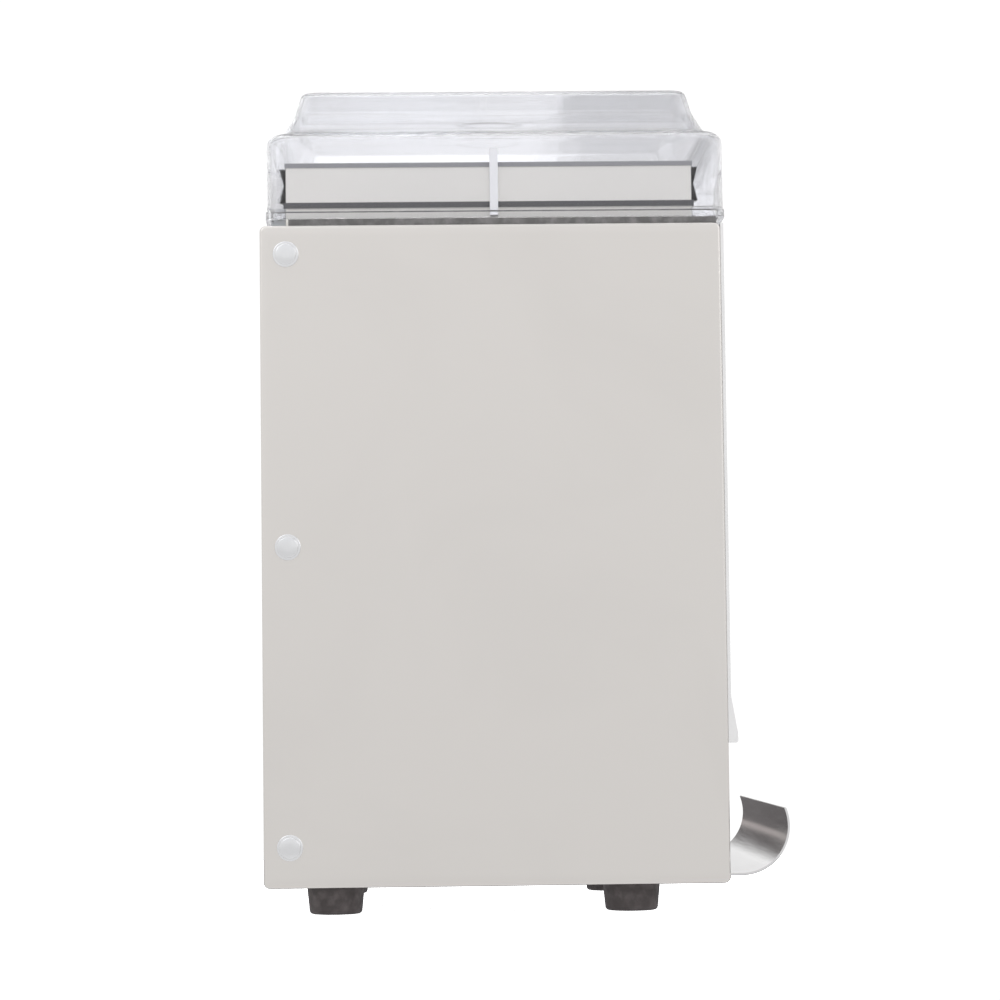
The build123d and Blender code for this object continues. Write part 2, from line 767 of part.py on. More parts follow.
def carriage_pinion():
    """Pinion and shaft of the carriage drive."""
    gear = Pos(87, carriage_pinion_y, carriage_pinion_z) * Rot(0, -90, 0) * Rot(180, 0, 0) * spur_gear(8)
    return gear + rod_x(shaft_radius, (86, 138), carriage_pinion_y, carriage_pinion_z)


# ---- Sealing head ----
head_bottom = 290.0
pad_thickness = 1.5
head_plate_z = (318.0, 326.0)
insulator_bottom = 312.0
rod_x_place = 62.0
guide_rod_radius = 6.0
rod_bush_radius = 10.0
rod_bush_z = (362.0, 386.0)
bridge_z = (370.0, 378.0)


def heater_block():
    """Heated pressing block."""
    disc = rod_z(50, 0, seal_y, (head_bottom + pad_thickness, insulator_bottom))
    return chamfer(disc.faces().sort_by(Axis.Z)[-1].edges(), 1.5)


def sealing_pad():
    """Non-stick face of the heated block."""
    return rod_z(49, 0, seal_y, (head_bottom, head_bottom + pad_thickness))


def film_cutter():
    """Round knife with a bevelled lower edge, held by a stepped flange."""
    outer, inner = 60.0, 55.5
    ring = rod_z(outer, 0, seal_y, (head_bottom + 1, head_plate_z[0]))
    ring = chamfer(ring.faces().sort_by(Axis.Z)[0].edges(), 3)
    return ring - rod_z(inner, 0, seal_y, (head_bottom - 1, head_plate_z[0] + 1))


def head_plate():
    """Carrier plate with the guide rods' seats."""
    plate = block((-75, 75), (60, 190), head_plate_z)
    return fillet(plate.edges().filter_by(Axis.Z), 8)


def heat_insulator():
    """Insulating spacer between the hot block and the carrier plate."""
    return rod_z(48, 0, seal_y, (insulator_bottom, head_plate_z[0]))


def guide_rods():
    """Ground rods on the carrier plate."""
    return both_sides(rod_z(guide_rod_radius, rod_x_place, seal_y, (head_plate_z[1], 440)))


def head_rack():
    """Upright rack that the head pinion drives, teeth to the rear."""
    face_width = 10
    rack = toothed_rack(head_plate_z[1], 425, head_pinion_z, face_width)
    tip = head_rack_y + rack_back + 2.25 * gear_module
    return Pos(-face_width / 2, tip, 0) * Rot(0, -90, 0) * Rot(180, 0, 0) * rack


def head_pinion():
    """Pinion and cross shaft of the head drive."""
    gear = Pos(-4, head_pinion_y, head_pinion_z) * Rot(0, 90, 0) * Rot(0, 0, 90) * spur_gear(8)
    return gear + rod_x(shaft_radius, (-138, frame_outer + 3), head_pinion_y, head_pinion_z)


def head_bridge():
    """Cross bar between the frame plates that guides the rods."""
    end = frame_inner - 0.1
    y = (seal_y - 25, seal_y + 25)
    foot_top = bridge_z[1] + 20
    bar = block((-end, end), y, bridge_z)
    foot = block((end - 6, end), y, (bridge_z[1], foot_top))
    bar = bar + foot + mirrored(foot)
    for x in (-rod_x_place, rod_x_place):
        bar -= rod_z(rod_bush_radius, x, seal_y, (bridge_z[0] - 1, bridge_z[1] + 1))
    return bar


def rod_bushes():
    """Flanged bronze bushes for the guide rods."""
    flange_z = (bridge_z[1], bridge_z[1] + 3)
    bush = rod_z(rod_bush_radius - press_gap, rod_x_place, seal_y, rod_bush_z)
    bush += rod_z(rod_bush_radius + 3, rod_x_place, seal_y, flange_z)
    bore = rod_z(guide_rod_radius + running_gap, rod_x_place, seal_y, (rod_bush_z[0] - 2, rod_bush_z[1] + 2))
    return both_sides(bush - bore)


def head_springs():
    """Coil springs round the guide rods, between the bushes and the carrier plate."""
    wire = 0.9
    turns = 6
    end_gap = 0.2
    low = head_plate_z[1] + wire + end_gap
    high = rod_bush_z[0] - wire - end_gap
    path = Helix(pitch=(high - low) / turns, height=high - low, radius=8.2)
    section = Plane(origin=path @ 0, z_dir=path % 0) * Circle(wire)
    spring = Pos(rod_x_place, seal_y, low) * sweep(section, path=path, is_frenet=True)
    return both_sides(spring)


# ---- Film ----
core_outer, core_inner = 38.05, 35.0   # radii of the film roll's card core
spool_radius = 14.0


def film_roll():
    """Full roll of sealing film."""
    roll = rod_x(roll_radius, (-film_half, film_half), roll_y, roll_z)
    return roll - rod_x(core_outer + press_gap, (-film_half - 1, film_half + 1), roll_y, roll_z)


def film_core():
    """Card core of the film roll."""
    core = rod_x(core_outer, (-film_half - 1, film_half + 1), roll_y, roll_z)
    return core - rod_x(core_inner, (-film_half - 2, film_half + 2), roll_y, roll_z)


def roll_spindle():
    """Spindle with the mandrel that grips the core."""
    spindle = rod_x(spindle_radius, (-frame_outer - 4, frame_outer + 4), roll_y, roll_z)
    return spindle + rod_x(core_inner - press_gap, (-film_half - 1, film_half + 1), roll_y, roll_z)


def roll_flanges():
    """Side discs that keep the film roll centred on its spindle."""
    x = (film_half + 1.2, film_half + 5)
    hub_end = x[1] + 12
    disc = rod_x(48, x, roll_y, roll_z) + rod_x(14, (x[0], hub_end), roll_y, roll_z)
    disc -= rod_x(spindle_radius, (x[0] - 1, hub_end + 1), roll_y, roll_z)
    return both_sides(disc)


def take_up_spool():
    """Driven spool for the waste film, with its end flanges and shaft."""
    spool = rod_x(spool_radius, (-66, 66), take_up_y, take_up_z)
    for x in ((-69, -66), (66, 69)):
        spool += rod_x(take_up_radius + 4, x, take_up_y, take_up_z)
    return spool + rod_x(shaft_radius, (-frame_outer - 3, 130), take_up_y, take_up_z)


def waste_film():
    """Waste film wound on the take-up spool."""
    wound = rod_x(take_up_radius, (-film_half, film_half), take_up_y, take_up_z)
    return wound - rod_x(spool_radius, (-film_half - 1, film_half + 1), take_up_y, take_up_z)


def guide_roller(y):
    """Idle roller on its own shaft."""
    roller = rod_x(roller_radius, (-74, 74), y, roller_z)
    return roller + rod_x(idler_radius, (-frame_outer - 2, frame_outer + 2), y, roller_z)


def film_web():
    """The film between the roll, the two guide rollers and the take-up spool."""
    thickness = film_z[1] - film_z[0]
    inner = roller_radius + film_gap
    rear = rear_roller_y + inner
    front = front_roller_y - inner
    low_inner = roller_z - inner

    def lay(offset):
        radius = inner + offset
        down = Line((rear + offset, roll_z), (rear + offset, roller_z))
        turn_rear = RadiusArc((rear + offset, roller_z), (rear_roller_y, low_inner - offset), radius)
        across = Line((rear_roller_y, low_inner - offset), (front_roller_y, low_inner - offset))
        turn_front = RadiusArc((front_roller_y, low_inner - offset), (front - offset, roller_z), radius)
        up = Line((front - offset, roller_z), (front - offset, take_up_z))
        return [down, turn_rear, across, turn_front, up]

    near, far = lay(0), lay(thickness)
    ends = [Line((rear, roll_z), (rear + thickness, roll_z))]
    ends.append(Line((front, take_up_z), (front - thickness, take_up_z)))
    return side_profile(make_face(Curve() + near + far + ends), (-film_half, film_half))


# ---- Take-up drive ----
spool_pulley_radius, motor_pulley_radius = 18.0, 12.0
pulley_x = (117.0, 125.0)


def pulley(radius, y, z):
    """Flanged belt pulley on a shaft."""
    flange = 1.2
    wheel = rod_x(radius, pulley_x, y, z)
    for x in ((pulley_x[0] - flange, pulley_x[0]), (pulley_x[1], pulley_x[1] + flange)):
        wheel += rod_x(radius + 3, x, y, z)
    return wheel - rod_x(shaft_radius, (pulley_x[0] - 2, pulley_x[1] + 2), y, z)


def motor_pulley():
    """Small pulley with the take-up motor's output shaft."""
    wheel = pulley(motor_pulley_radius, take_up_y, take_up_motor_z)
    return wheel + rod_x(shaft_radius, (84, 130), take_up_y, take_up_motor_z)


def drive_belt():
    """Belt between the motor pulley and the spool pulley."""
    gap, thickness, margin = 0.3, 1.6, 0.8
    distance = take_up_z - take_up_motor_z
    lean = math.asin((spool_pulley_radius - motor_pulley_radius) / distance)

    def loop(extra):
        small = motor_pulley_radius + gap + extra
        large = spool_pulley_radius + gap + extra
        across, along = math.cos(lean), math.sin(lean)
        low = [(side * small * across, -small * along) for side in (1, -1)]
        high = [(side * large * across, distance - large * along) for side in (1, -1)]
        edges = [
            Line(low[0], high[0]),
            ThreePointArc(high[0], (0, distance + large), high[1]),
            Line(high[1], low[1]),
            ThreePointArc(low[1], (0, -small), low[0]),
        ]
        return make_face(Curve() + edges)

    ring = loop(thickness) - loop(0)
    x = (pulley_x[0] + margin, pulley_x[1] - margin)
    return side_profile(Pos(take_up_y, take_up_motor_z) * ring, x)


# ---- Motors and electrics ----
motor_radius, motor_length = 30.0, 36.0


def carriage_motor():
    """Gear motor of the carriage, outside the right frame plate."""
    motor = gear_motor(motor_radius, motor_length)
    return Pos(frame_outer + 0.5, carriage_pinion_y, carriage_pinion_z) * Rot(0, 90, 0) * motor


def head_motor():
    """Gear motor of the sealing head, outside the left frame plate."""
    motor = gear_motor(motor_radius, motor_length)
    return Pos(-frame_outer - 0.5, head_pinion_y, head_pinion_z) * Rot(0, -90, 0) * motor


def take_up_motor():
    """Gear motor of the take-up spool, inside the right frame plate."""
    motor = gear_motor(motor_radius - 2, motor_length)
    return Pos(frame_inner - 1.2, take_up_y, take_up_motor_z) * Rot(0, -90, 0) * motor


def power_supply():
    """Enclosed power supply behind the cup bay."""
    x, y, z = (-4.0, 96.0), (232.0, 300.0), (26.0, 120.0)
    case = block(x, y, z)
    case = chamfer(case.edges().filter_by(Axis.Z), 2)
    slot_count = 6
    slot_pitch = 12.0
    for index in range(slot_count):
        low = z[0] + 18 + index * slot_pitch
        case -= block((x[0] + 10, x[1] - 10), (y[1] - 1.5, y[1] + 1), (low, low + 4))
    terminals = block((x[0] + 10, x[0] + 64), (y[1], y[1] + 6), (z[0] + 4, z[0] + 12))
    return case + terminals


def main_board():
    """Control board with its larger components, on the bay's back wall."""
    board_y = (232.0, 233.6)
    board = block((-100, -12), board_y, (100, 216))
    parts = [(-94, -66, 112, 132, 16), (-58, -22, 110, 150, 22), (-90, -62, 150, 176, 12)]
    parts += [(-52, -30, 164, 186, 18), (-94, -20, 196, 208, 10)]
    for x0, x1, z0, z1, height in parts:
        board += block((x0, x1), (board_y[1], board_y[1] + height), (z0, z1))
    for x, z in [(x, z) for x in (-96, -16) for z in (104, 212)]:
        board += rod_y(2.5, x, (bay_back + sheet, board_y[0]), z)
    return board


def mark_sensor():
    """Optical sensor on a bracket over the film's edge."""
    body = block((52, 74), (206, 222), (256, 270))
    arm = block((74, frame_inner - 0.1), (210, 218), (262, 264.5))
    tab = block((frame_inner - 2.5, frame_inner - 0.1), (206, 222), (254, 276))
    return body + arm + tab


def cooling_fan():
    """Square fan housing with its motor boss and struts."""
    y = (rear_panel_y[0] - 20.5, rear_panel_y[0] - 0.5)
    half = fan_size / 2
    housing = block((fan_x - half, fan_x + half), y, (fan_z - half, fan_z + half))
    housing = fillet(housing.edges().filter_by(Axis.Y), 4)
    housing -= rod_y(half - 2, fan_x, (y[0] - 1, y[1] + 1), fan_z)
    strut_depth = 4.0
    struts = rod_y(12, fan_x, (y[0], y[0] + strut_depth), fan_z)
    bar = Box(fan_size - 2, strut_depth, 3)
    for angle in (45, 135):
        struts += Pos(fan_x, y[0] + strut_depth / 2, fan_z) * Rot(0, angle, 0) * bar
    return housing + struts


def fan_rotor():
    """Seven-bladed fan rotor."""
    y = (rear_panel_y[0] - 15.5, rear_panel_y[0] - 3.5)
    rotor = rod_y(11, fan_x, y, fan_z)
    blade_count = 7
    for index in range(blade_count):
        blade = Pos(18.5, 0, 0) * Rot(35, 0, 0) * Box(17, 12, 1.4)
        place_at = Pos(fan_x, (y[0] + y[1]) / 2, fan_z) * Rot(0, 360 * index / blade_count, 0)
        rotor += place_at * blade
    return rotor


def fan_guard():
    """Wire finger guard over the fan opening."""
    wire = 0.9
    y = rear_panel_y[1] + wire
    place_at = Pos(fan_x, y, fan_z) * Rot(90, 0, 0)
    guard = place_at * Torus(9, wire)
    for radius in (17, 25):
        guard += place_at * Torus(radius, wire)
    for angle in (0, 90):
        guard += Pos(fan_x, y, fan_z) * Rot(0, angle, 0) * Rot(0, 90, 0) * Cylinder(wire, 66)
    return guard


def power_inlet():
    """Recessed power socket with three contact blades."""
    panel = rear_panel_y[1]
    back = panel - 19
    wide, high = inlet_half
    wall = 2.0
    flange = block((inlet_x - 25, inlet_x + 25), (panel, panel + 2.4), (inlet_z - 12, inlet_z + 12))
    flange = fillet(flange.edges().filter_by(Axis.Y), 5)
    shell = block((inlet_x - wide, inlet_x + wide), (back, panel), (inlet_z - high, inlet_z + high))
    recess_x = (inlet_x - wide + wall, inlet_x + wide - wall)
    recess_z = (inlet_z - high + wall, inlet_z + high - wall)
    inlet = flange + shell - block(recess_x, (back + 3, panel + 3), recess_z)
    for offset, z in ((-7, 1), (0, -2), (7, 1)):
        x = inlet_x + offset
        inlet += block((x - 1, x + 1), (back - 6, panel - 3), (inlet_z + z - 2, inlet_z + z + 2))
    return inlet


def fuse_holder():
    """Round fuse holder with a slotted cap."""
    panel = rear_panel_y[1]
    cap_height = 2.6
    holder = rod_y(fuse_radius, fuse_x, (panel - 26, panel), fuse_z)
    holder += rod_y(8, fuse_x, (panel, panel + cap_height), fuse_z)
    slot_y = (panel + cap_height - 1.2, panel + cap_height + 1)
    return holder - block((fuse_x - 5, fuse_x + 5), slot_y, (fuse_z - 0.8, fuse_z + 0.8))


def rocker_housing():
    """Frame of the mains rocker switch."""
    panel = rear_panel_y[1]
    back = panel - 16
    wide, high = rocker_half
    edge = 2.0
    flange_x = (rocker_x - wide - edge, rocker_x + wide + edge)
    flange = block(flange_x, (panel, panel + 1.6), (rocker_z - high - edge, rocker_z + high + edge))
    flange = fillet(flange.edges().filter_by(Axis.Y), 2)
    shell = block((rocker_x - wide, rocker_x + wide), (back, panel), (rocker_z - high, rocker_z + high))
    pocket = block((rocker_x - 9, rocker_x + 9), (back + 2.5, panel + 3), (rocker_z - 6, rocker_z + 6))
    return flange + shell - pocket


rocker_pivot_y = rear_panel_y[1] - 3.0


def power_rocker():
    """Rocker paddle, tipped to its off side at rest."""
    z_half = 5.4
    reach = 5.0
    x = (rocker_x - 8.6, rocker_x + 8.6)
    hub = rod_x(2.4, x, rocker_pivot_y, rocker_z)
    outline = [
        (rocker_pivot_y - 1.0, rocker_z - z_half + 0.2),
        (rocker_pivot_y + reach - 1.8, rocker_z - z_half + 0.6),
        (rocker_pivot_y + reach - 1.4, rocker_z),
        (rocker_pivot_y + reach + 0.4, rocker_z + z_half - 0.8),
        (rocker_pivot_y - 0.6, rocker_z + z_half - 0.2),
    ]
    return hub + side_profile(outline, x)


def make_parts():
    """Every node of the machine, by name. Identical or closely related small pieces share one."""
    right_panel = side_panel()
    right_frame = frame_plate()
    parts = {
        "base_pan": base_pan(),
        "right_side_panel": right_panel,
        "left_side_panel": mirrored(right_panel),
        "rear_panel": rear_panel(),
        "front_fascia": front_fascia(),
        "casing_screws": side_screws() + rear_screws() + foot_screws(),
        "rubber_feet": rubber_feet(),
        "control_panel": control_panel(),
        "display_window": display_window(),
        "circuit_boards": [control_board(), main_board()],
        "power_supply": power_supply(),
        "power_fittings": [power_inlet(), fuse_holder(), rocker_housing()],
        "power_rocker": power_rocker(),
        "cooling_fan": [cooling_fan(), fan_guard()],
        "fan_rotor": fan_rotor(),
        "mark_sensor": mark_sensor(),
        "right_frame_plate": right_frame,
        "left_frame_plate": mirrored(right_frame),
        "bay_back_plate": bay_back_plate(),
        "shaft_bearings": shaft_bushes() + roll_saddles() + rod_bushes(),
        "slide_rails": carriage_rails() + tray_runners(),
        "gear_motors": [carriage_motor(), head_motor(), take_up_motor()],
        "film_deck": film_deck(),
        "collar_trim": [collar_trim(), collar_seal()],
        "corner_pads": corner_pads(),
        "lid_gasket": lid_gasket(),
        "clear_lid": clear_lid(),
        "hinge_lugs": hinge_lugs(),
        "hinge_brackets": hinge_brackets() + hinge_pins(),
        "drip_tray": drip_tray(),
        "drip_grid": drip_grid(),
        "carriage_plate": carriage_plate(),
        "carriage_front": carriage_front(),
        "cup_ring": cup_ring(),
        "ring_seal": ring_seal(),
        "carriage_rack": carriage_rack(),
        "carriage_pinion": carriage_pinion(),
        "heater_block": heater_block(),
        "heat_insulator": heat_insulator(),
        "sealing_pad": sealing_pad(),
        "film_cutter": film_cutter(),
        "head_plate": head_plate(),
        "guide_rods": guide_rods(),
        "head_rack": head_rack(),
        "head_pinion": head_pinion(),
        "head_bridge": head_bridge(),
        "head_springs": head_springs(),
        "film_roll": [film_roll(), film_core()],
        "roll_spindle": [roll_spindle()] + roll_flanges(),
        "take_up_spool": [take_up_spool(), pulley(spool_pulley_radius, take_up_y, take_up_z)],
        "waste_film": waste_film(),
        "rear_guide_roller": guide_roller(rear_roller_y),
        "front_guide_roller": guide_roller(front_roller_y),
        "film_web": film_web(),
        "motor_pulley": motor_pulley(),
        "drive_belt": drive_belt(),
    }
    for name, x in zip(key_names, key_places):
        parts[f"{name}_key"] = key_cap(x)
    return parts


os.makedirs("parts", exist_ok=True)
for node, piece in make_parts().items():
    export_step(place(piece), f"parts/{node}.step")
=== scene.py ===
import math

import bmesh
import bpy
from mathutils import Matrix, Vector


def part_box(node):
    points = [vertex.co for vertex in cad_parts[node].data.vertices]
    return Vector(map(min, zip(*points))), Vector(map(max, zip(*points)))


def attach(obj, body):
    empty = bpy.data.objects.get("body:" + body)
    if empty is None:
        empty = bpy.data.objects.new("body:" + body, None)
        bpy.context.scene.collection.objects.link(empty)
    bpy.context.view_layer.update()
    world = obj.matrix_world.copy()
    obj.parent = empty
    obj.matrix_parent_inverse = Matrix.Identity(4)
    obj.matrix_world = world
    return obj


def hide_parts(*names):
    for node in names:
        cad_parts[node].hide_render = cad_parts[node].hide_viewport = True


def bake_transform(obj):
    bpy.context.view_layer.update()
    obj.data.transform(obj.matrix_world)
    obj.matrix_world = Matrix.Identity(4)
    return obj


# Looks for the cup sealing machine. Units are metres; -Y is the machine's front and +Z is up.
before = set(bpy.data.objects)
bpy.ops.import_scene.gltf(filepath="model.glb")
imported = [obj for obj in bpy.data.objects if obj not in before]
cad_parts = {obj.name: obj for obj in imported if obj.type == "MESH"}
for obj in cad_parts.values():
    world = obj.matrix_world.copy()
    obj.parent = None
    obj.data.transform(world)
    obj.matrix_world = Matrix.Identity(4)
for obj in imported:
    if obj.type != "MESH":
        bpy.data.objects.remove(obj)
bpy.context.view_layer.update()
MM = 0.001


# ---------------------------------------------------------------- camera and light
SIDE_LOW, SIDE_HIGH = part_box("left_side_panel")
CAMERA_DISTANCE = 2.3         # from the near side panel
CAMERA_BACK = 0.2267          # behind the panel's front edge
CAMERA_Z = 0.1487             # low, a quarter of the way up the casing
AIM_BACK = 0.1637             # the point looked at, behind the panel's front edge
AIM_Z = 0.2988
LENS = 114.2
SENSOR = 36
CAMERA_ROLL = math.radians(0.68)


def make_camera():
    """A long lens low down on the machine's left side, turned a little about its own axis."""
    data = bpy.data.cameras.new("camera")
    data.lens = LENS
    data.sensor_width = SENSOR
    data.clip_start = 0.05
    camera = bpy.data.objects.new("camera", data)
    bpy.context.scene.collection.objects.link(camera)
    camera.location = (SIDE_LOW.x - CAMERA_DISTANCE, SIDE_LOW.y + CAMERA_BACK, CAMERA_Z)
    aim = Vector((SIDE_LOW.x, SIDE_LOW.y + AIM_BACK, AIM_Z))
    look = (aim - camera.location).to_track_quat("-Z", "Y").to_matrix().to_4x4()
    roll = Matrix.Rotation(-CAMERA_ROLL, 4, "Z")
    camera.matrix_world = Matrix.Translation(camera.location) @ look @ roll
    bpy.context.scene.camera = camera


# Colour of the surround, from straight down (0) to straight up (1)
SKY = [
    (0.0, (0.82, 0.82, 0.82)),
    (0.30, (0.80, 0.795, 0.79)),
    (0.41, (0.73, 0.725, 0.72)),
    (0.47, (0.75, 0.745, 0.74)),
    (0.56, (0.86, 0.855, 0.85)),
    (0.66, (0.88, 0.88, 0.885)),
    (1.0, (0.82, 0.82, 0.83)),
]
WHITE_STRENGTH = 1.05         # what the camera itself sees

# Soft-edged shades beyond the machine, as cards in a studio: direction bands and colour.
# A wide grey one below the horizon, a narrow dark one at it, and a lighter strip inside the dark one.
FLAG_SIDE = (0.6, 0.8, 1.2, 1.4)
FLAG_DEPTH = (-0.005, 0.04, 0.16, 0.3)
FLAGS = [
    ({"X": FLAG_SIDE, "Z": (-0.5, -0.3, -0.1, 0.02)}, (0.56, 0.56, 0.57)),
    ({"X": FLAG_SIDE, "Y": FLAG_DEPTH, "Z": (-0.2, -0.15, 0.1, 0.125)}, (0.13, 0.12, 0.12)),
    ({"X": FLAG_SIDE, "Y": FLAG_DEPTH, "Z": (0.0, 0.01, 0.03, 0.04)}, (0.42, 0.38, 0.37)),
]


def multiply(tree, a, b):
    product = tree.nodes.new("ShaderNodeMath")
    product.operation = "MULTIPLY"
    tree.links.new(a, product.inputs[0])
    tree.links.new(b, product.inputs[1])
    return product.outputs[0]


def sky_band(tree, value, edges):
    """One inside a band of a direction component, fading to zero across its soft edges."""
    sides = []
    for start, end in ((edges[0], edges[1]), (edges[3], edges[2])):
        side = tree.nodes.new("ShaderNodeMapRange")
        side.interpolation_type = "SMOOTHSTEP"
        side.inputs["From Min"].default_value = start
        side.inputs["From Max"].default_value = end
        tree.links.new(value, side.inputs["Value"])
        sides.append(side.outputs["Result"])
    return multiply(tree, *sides)


def sky_flag(tree, split, colour, bands, shade):
    """The colour so far, with a soft-edged shade over one block of directions."""
    factor = None
    for axis, edges in bands.items():
        band = sky_band(tree, split.outputs[axis], edges)
        factor = band if factor is None else multiply(tree, factor, band)
    mix = tree.nodes.new("ShaderNodeMix")
    mix.data_type = "RGBA"
    mix.inputs["B"].default_value = (*shade, 1)
    tree.links.new(factor, mix.inputs["Factor"])
    tree.links.new(colour, mix.inputs["A"])
    return mix.outputs["Result"]


def make_world():
    """White to the camera; the light it gives is a soft studio surround with darker cards."""
    scene = bpy.context.scene
    scene.view_settings.view_transform = "Standard"
    world = bpy.data.worlds.new("studio")
    scene.world = world
    world.use_nodes = True
    tree = world.node_tree
    tree.nodes.clear()
    coordinates = tree.nodes.new("ShaderNodeTexCoord")
    split = tree.nodes.new("ShaderNodeSeparateXYZ")
    ramp = tree.nodes.new("ShaderNodeValToRGB")
    remap = tree.nodes.new("ShaderNodeMapRange")
    light = tree.nodes.new("ShaderNodeBackground")
    white = tree.nodes.new("ShaderNodeBackground")
    path = tree.nodes.new("ShaderNodeLightPath")
    mix = tree.nodes.new("ShaderNodeMixShader")
    output = tree.nodes.new("ShaderNodeOutputWorld")
    remap.inputs["From Min"].default_value = -1
    remap.inputs["From Max"].default_value = 1
    while len(ramp.color_ramp.elements) < len(SKY):
        ramp.color_ramp.elements.new(0.5)
    for element, (position, colour) in zip(ramp.color_ramp.elements, SKY):
        element.position = position
        element.color = (*colour, 1)
    white.inputs["Color"].default_value = (1, 1, 1, 1)
    white.inputs["Strength"].default_value = WHITE_STRENGTH
    links = tree.links
    links.new(coordinates.outputs["Generated"], split.inputs[0])
    links.new(split.outputs["Z"], remap.inputs["Value"])
    links.new(remap.outputs["Result"], ramp.inputs["Fac"])
    colour = ramp.outputs["Color"]
    for bands, shade in FLAGS:
        colour = sky_flag(tree, split, colour, bands, shade)
    links.new(colour, light.inputs["Color"])
    links.new(path.outputs["Is Camera Ray"], mix.inputs["Fac"])
    links.new(light.outputs[0], mix.inputs[1])
    links.new(white.outputs[0], mix.inputs[2])
    links.new(mix.outputs[0], output.inputs["Surface"])


# Area lights: name, place, size and power in watts, all turned to the machine's middle
LIGHT_TARGET = Vector((0, 0, 0.3))
LIGHTS = [
    ("key_left", (-1.9, 1.3, 1.9), (1.4, 1.4), 6),
    ("key_right", (-1.5, -1.9, 1.4), (1.2, 1.6), 5),
    ("overhead", (0.2, 0.0, 2.4), (2.0, 2.0), 6),
    ("back_fill", (2.2, 0.6, 1.2), (1.6, 1.6), 4),
]


def make_lights():
    for name, place, size, power in LIGHTS:
        data = bpy.data.lights.new(name, "AREA")
        data.shape = "RECTANGLE"
        data.size, data.size_y = size
        data.energy = power
        lamp = bpy.data.objects.new(name, data)
        bpy.context.scene.collection.objects.link(lamp)
        lamp.location = place
        lamp.rotation_euler = (LIGHT_TARGET - Vector(place)).to_track_quat("-Z", "Y").to_euler()


# ---------------------------------------------------------------- material helpers
class Material:
    """A Principled material with short ways to add procedural detail in object coordinates."""

    def __init__(self, name, colour, roughness, metallic=0.0, **sockets):
        self.material = bpy.data.materials.new(name)
        self.material.use_nodes = True
        self.tree = self.material.node_tree
        self.shader = self.tree.nodes["Principled BSDF"]
        self.colour = colour
        self.roughness = roughness
        self.set("Base Color", (*colour, 1))
        self.set("Roughness", roughness)
        self.set("Metallic", metallic)
        for socket, value in sockets.items():
            self.set(socket.replace("_", " "), value)
        self.coordinates = self.tree.nodes.new("ShaderNodeTexCoord").outputs["Object"]
        self.normal = None

    def set(self, socket, value):
        self.shader.inputs[socket].default_value = value

    def noise(self, scale, detail=3.0, stretch=(1, 1, 1), distortion=0.0):
        """Noise of so many features a metre, stretched along the axes."""
        mapping = self.tree.nodes.new("ShaderNodeMapping")
        mapping.inputs["Scale"].default_value = [scale * s for s in stretch]
        node = self.tree.nodes.new("ShaderNodeTexNoise")
        node.inputs["Scale"].default_value = 1.0
        node.inputs["Detail"].default_value = detail
        node.inputs["Distortion"].default_value = distortion
        self.tree.links.new(self.coordinates, mapping.inputs["Vector"])
        self.tree.links.new(mapping.outputs[0], node.inputs["Vector"])
        return node.outputs["Fac"]

    def place(self, axis):
        """One component of the point's place in the shared frame."""
        node = self.tree.nodes.new("ShaderNodeSeparateXYZ")
        self.tree.links.new(self.coordinates, node.inputs[0])
        return node.outputs[axis]

    def ramp(self, value, low, high, to_low, to_high):
        node = self.tree.nodes.new("ShaderNodeMapRange")
        node.inputs["From Min"].default_value = low
        node.inputs["From Max"].default_value = high
        node.inputs["To Min"].default_value = to_low
        node.inputs["To Max"].default_value = to_high
        self.tree.links.new(value, node.inputs["Value"])
        return node.outputs["Result"]

    def vary_roughness(self, value, amount):
        span = self.ramp(value, 0.3, 0.7, self.roughness - amount, self.roughness + amount)
        self.tree.links.new(span, self.shader.inputs["Roughness"])

    def vary_colour(self, value, low, high, other):
        """Mix the base colour with another one where the value rises from low to high."""
        mix = self.tree.nodes.new("ShaderNodeMix")
        mix.data_type = "RGBA"
        source = self.shader.inputs["Base Color"]
        if source.is_linked:
            self.tree.links.new(source.links[0].from_socket, mix.inputs["A"])
        else:
            mix.inputs["A"].default_value = (*self.colour, 1)
        mix.inputs["B"].default_value = (*other, 1)
        self.tree.links.new(self.ramp(value, low, high, 0, 1), mix.inputs["Factor"])
        self.tree.links.new(mix.outputs["Result"], source)

    def see_through(self, share, tint=(1, 1, 1)):
        """Let a share of the light straight through, tinted, without bending it."""
        clear = self.tree.nodes.new("ShaderNodeBsdfTransparent")
        clear.inputs["Color"].default_value = (*tint, 1)
        mix = self.tree.nodes.new("ShaderNodeMixShader")
        mix.inputs["Fac"].default_value = share
        self.tree.links.new(self.shader.outputs[0], mix.inputs[1])
        self.tree.links.new(clear.outputs[0], mix.inputs[2])
        self.tree.links.new(mix.outputs[0], self.tree.nodes["Material Output"].inputs["Surface"])

    def bump(self, value, distance, strength):
        node = self.tree.nodes.new("ShaderNodeBump")
        node.inputs["Strength"].default_value = strength
        node.inputs["Distance"].default_value = distance
        self.tree.links.new(value, node.inputs["Height"])
        if self.normal is not None:
            self.tree.links.new(self.normal, node.inputs["Normal"])
        self.normal = node.outputs[0]
        self.tree.links.new(self.normal, self.shader.inputs["Normal"])

    def soft_edges(self, radius):
        """Rounded-looking edges on a piece whose mesh has sharp ones."""
        node = self.tree.nodes.new("ShaderNodeBevel")
        node.samples = 4
        node.inputs["Radius"].default_value = radius
        self.normal = node.outputs[0]
        self.tree.links.new(self.normal, self.shader.inputs["Normal"])


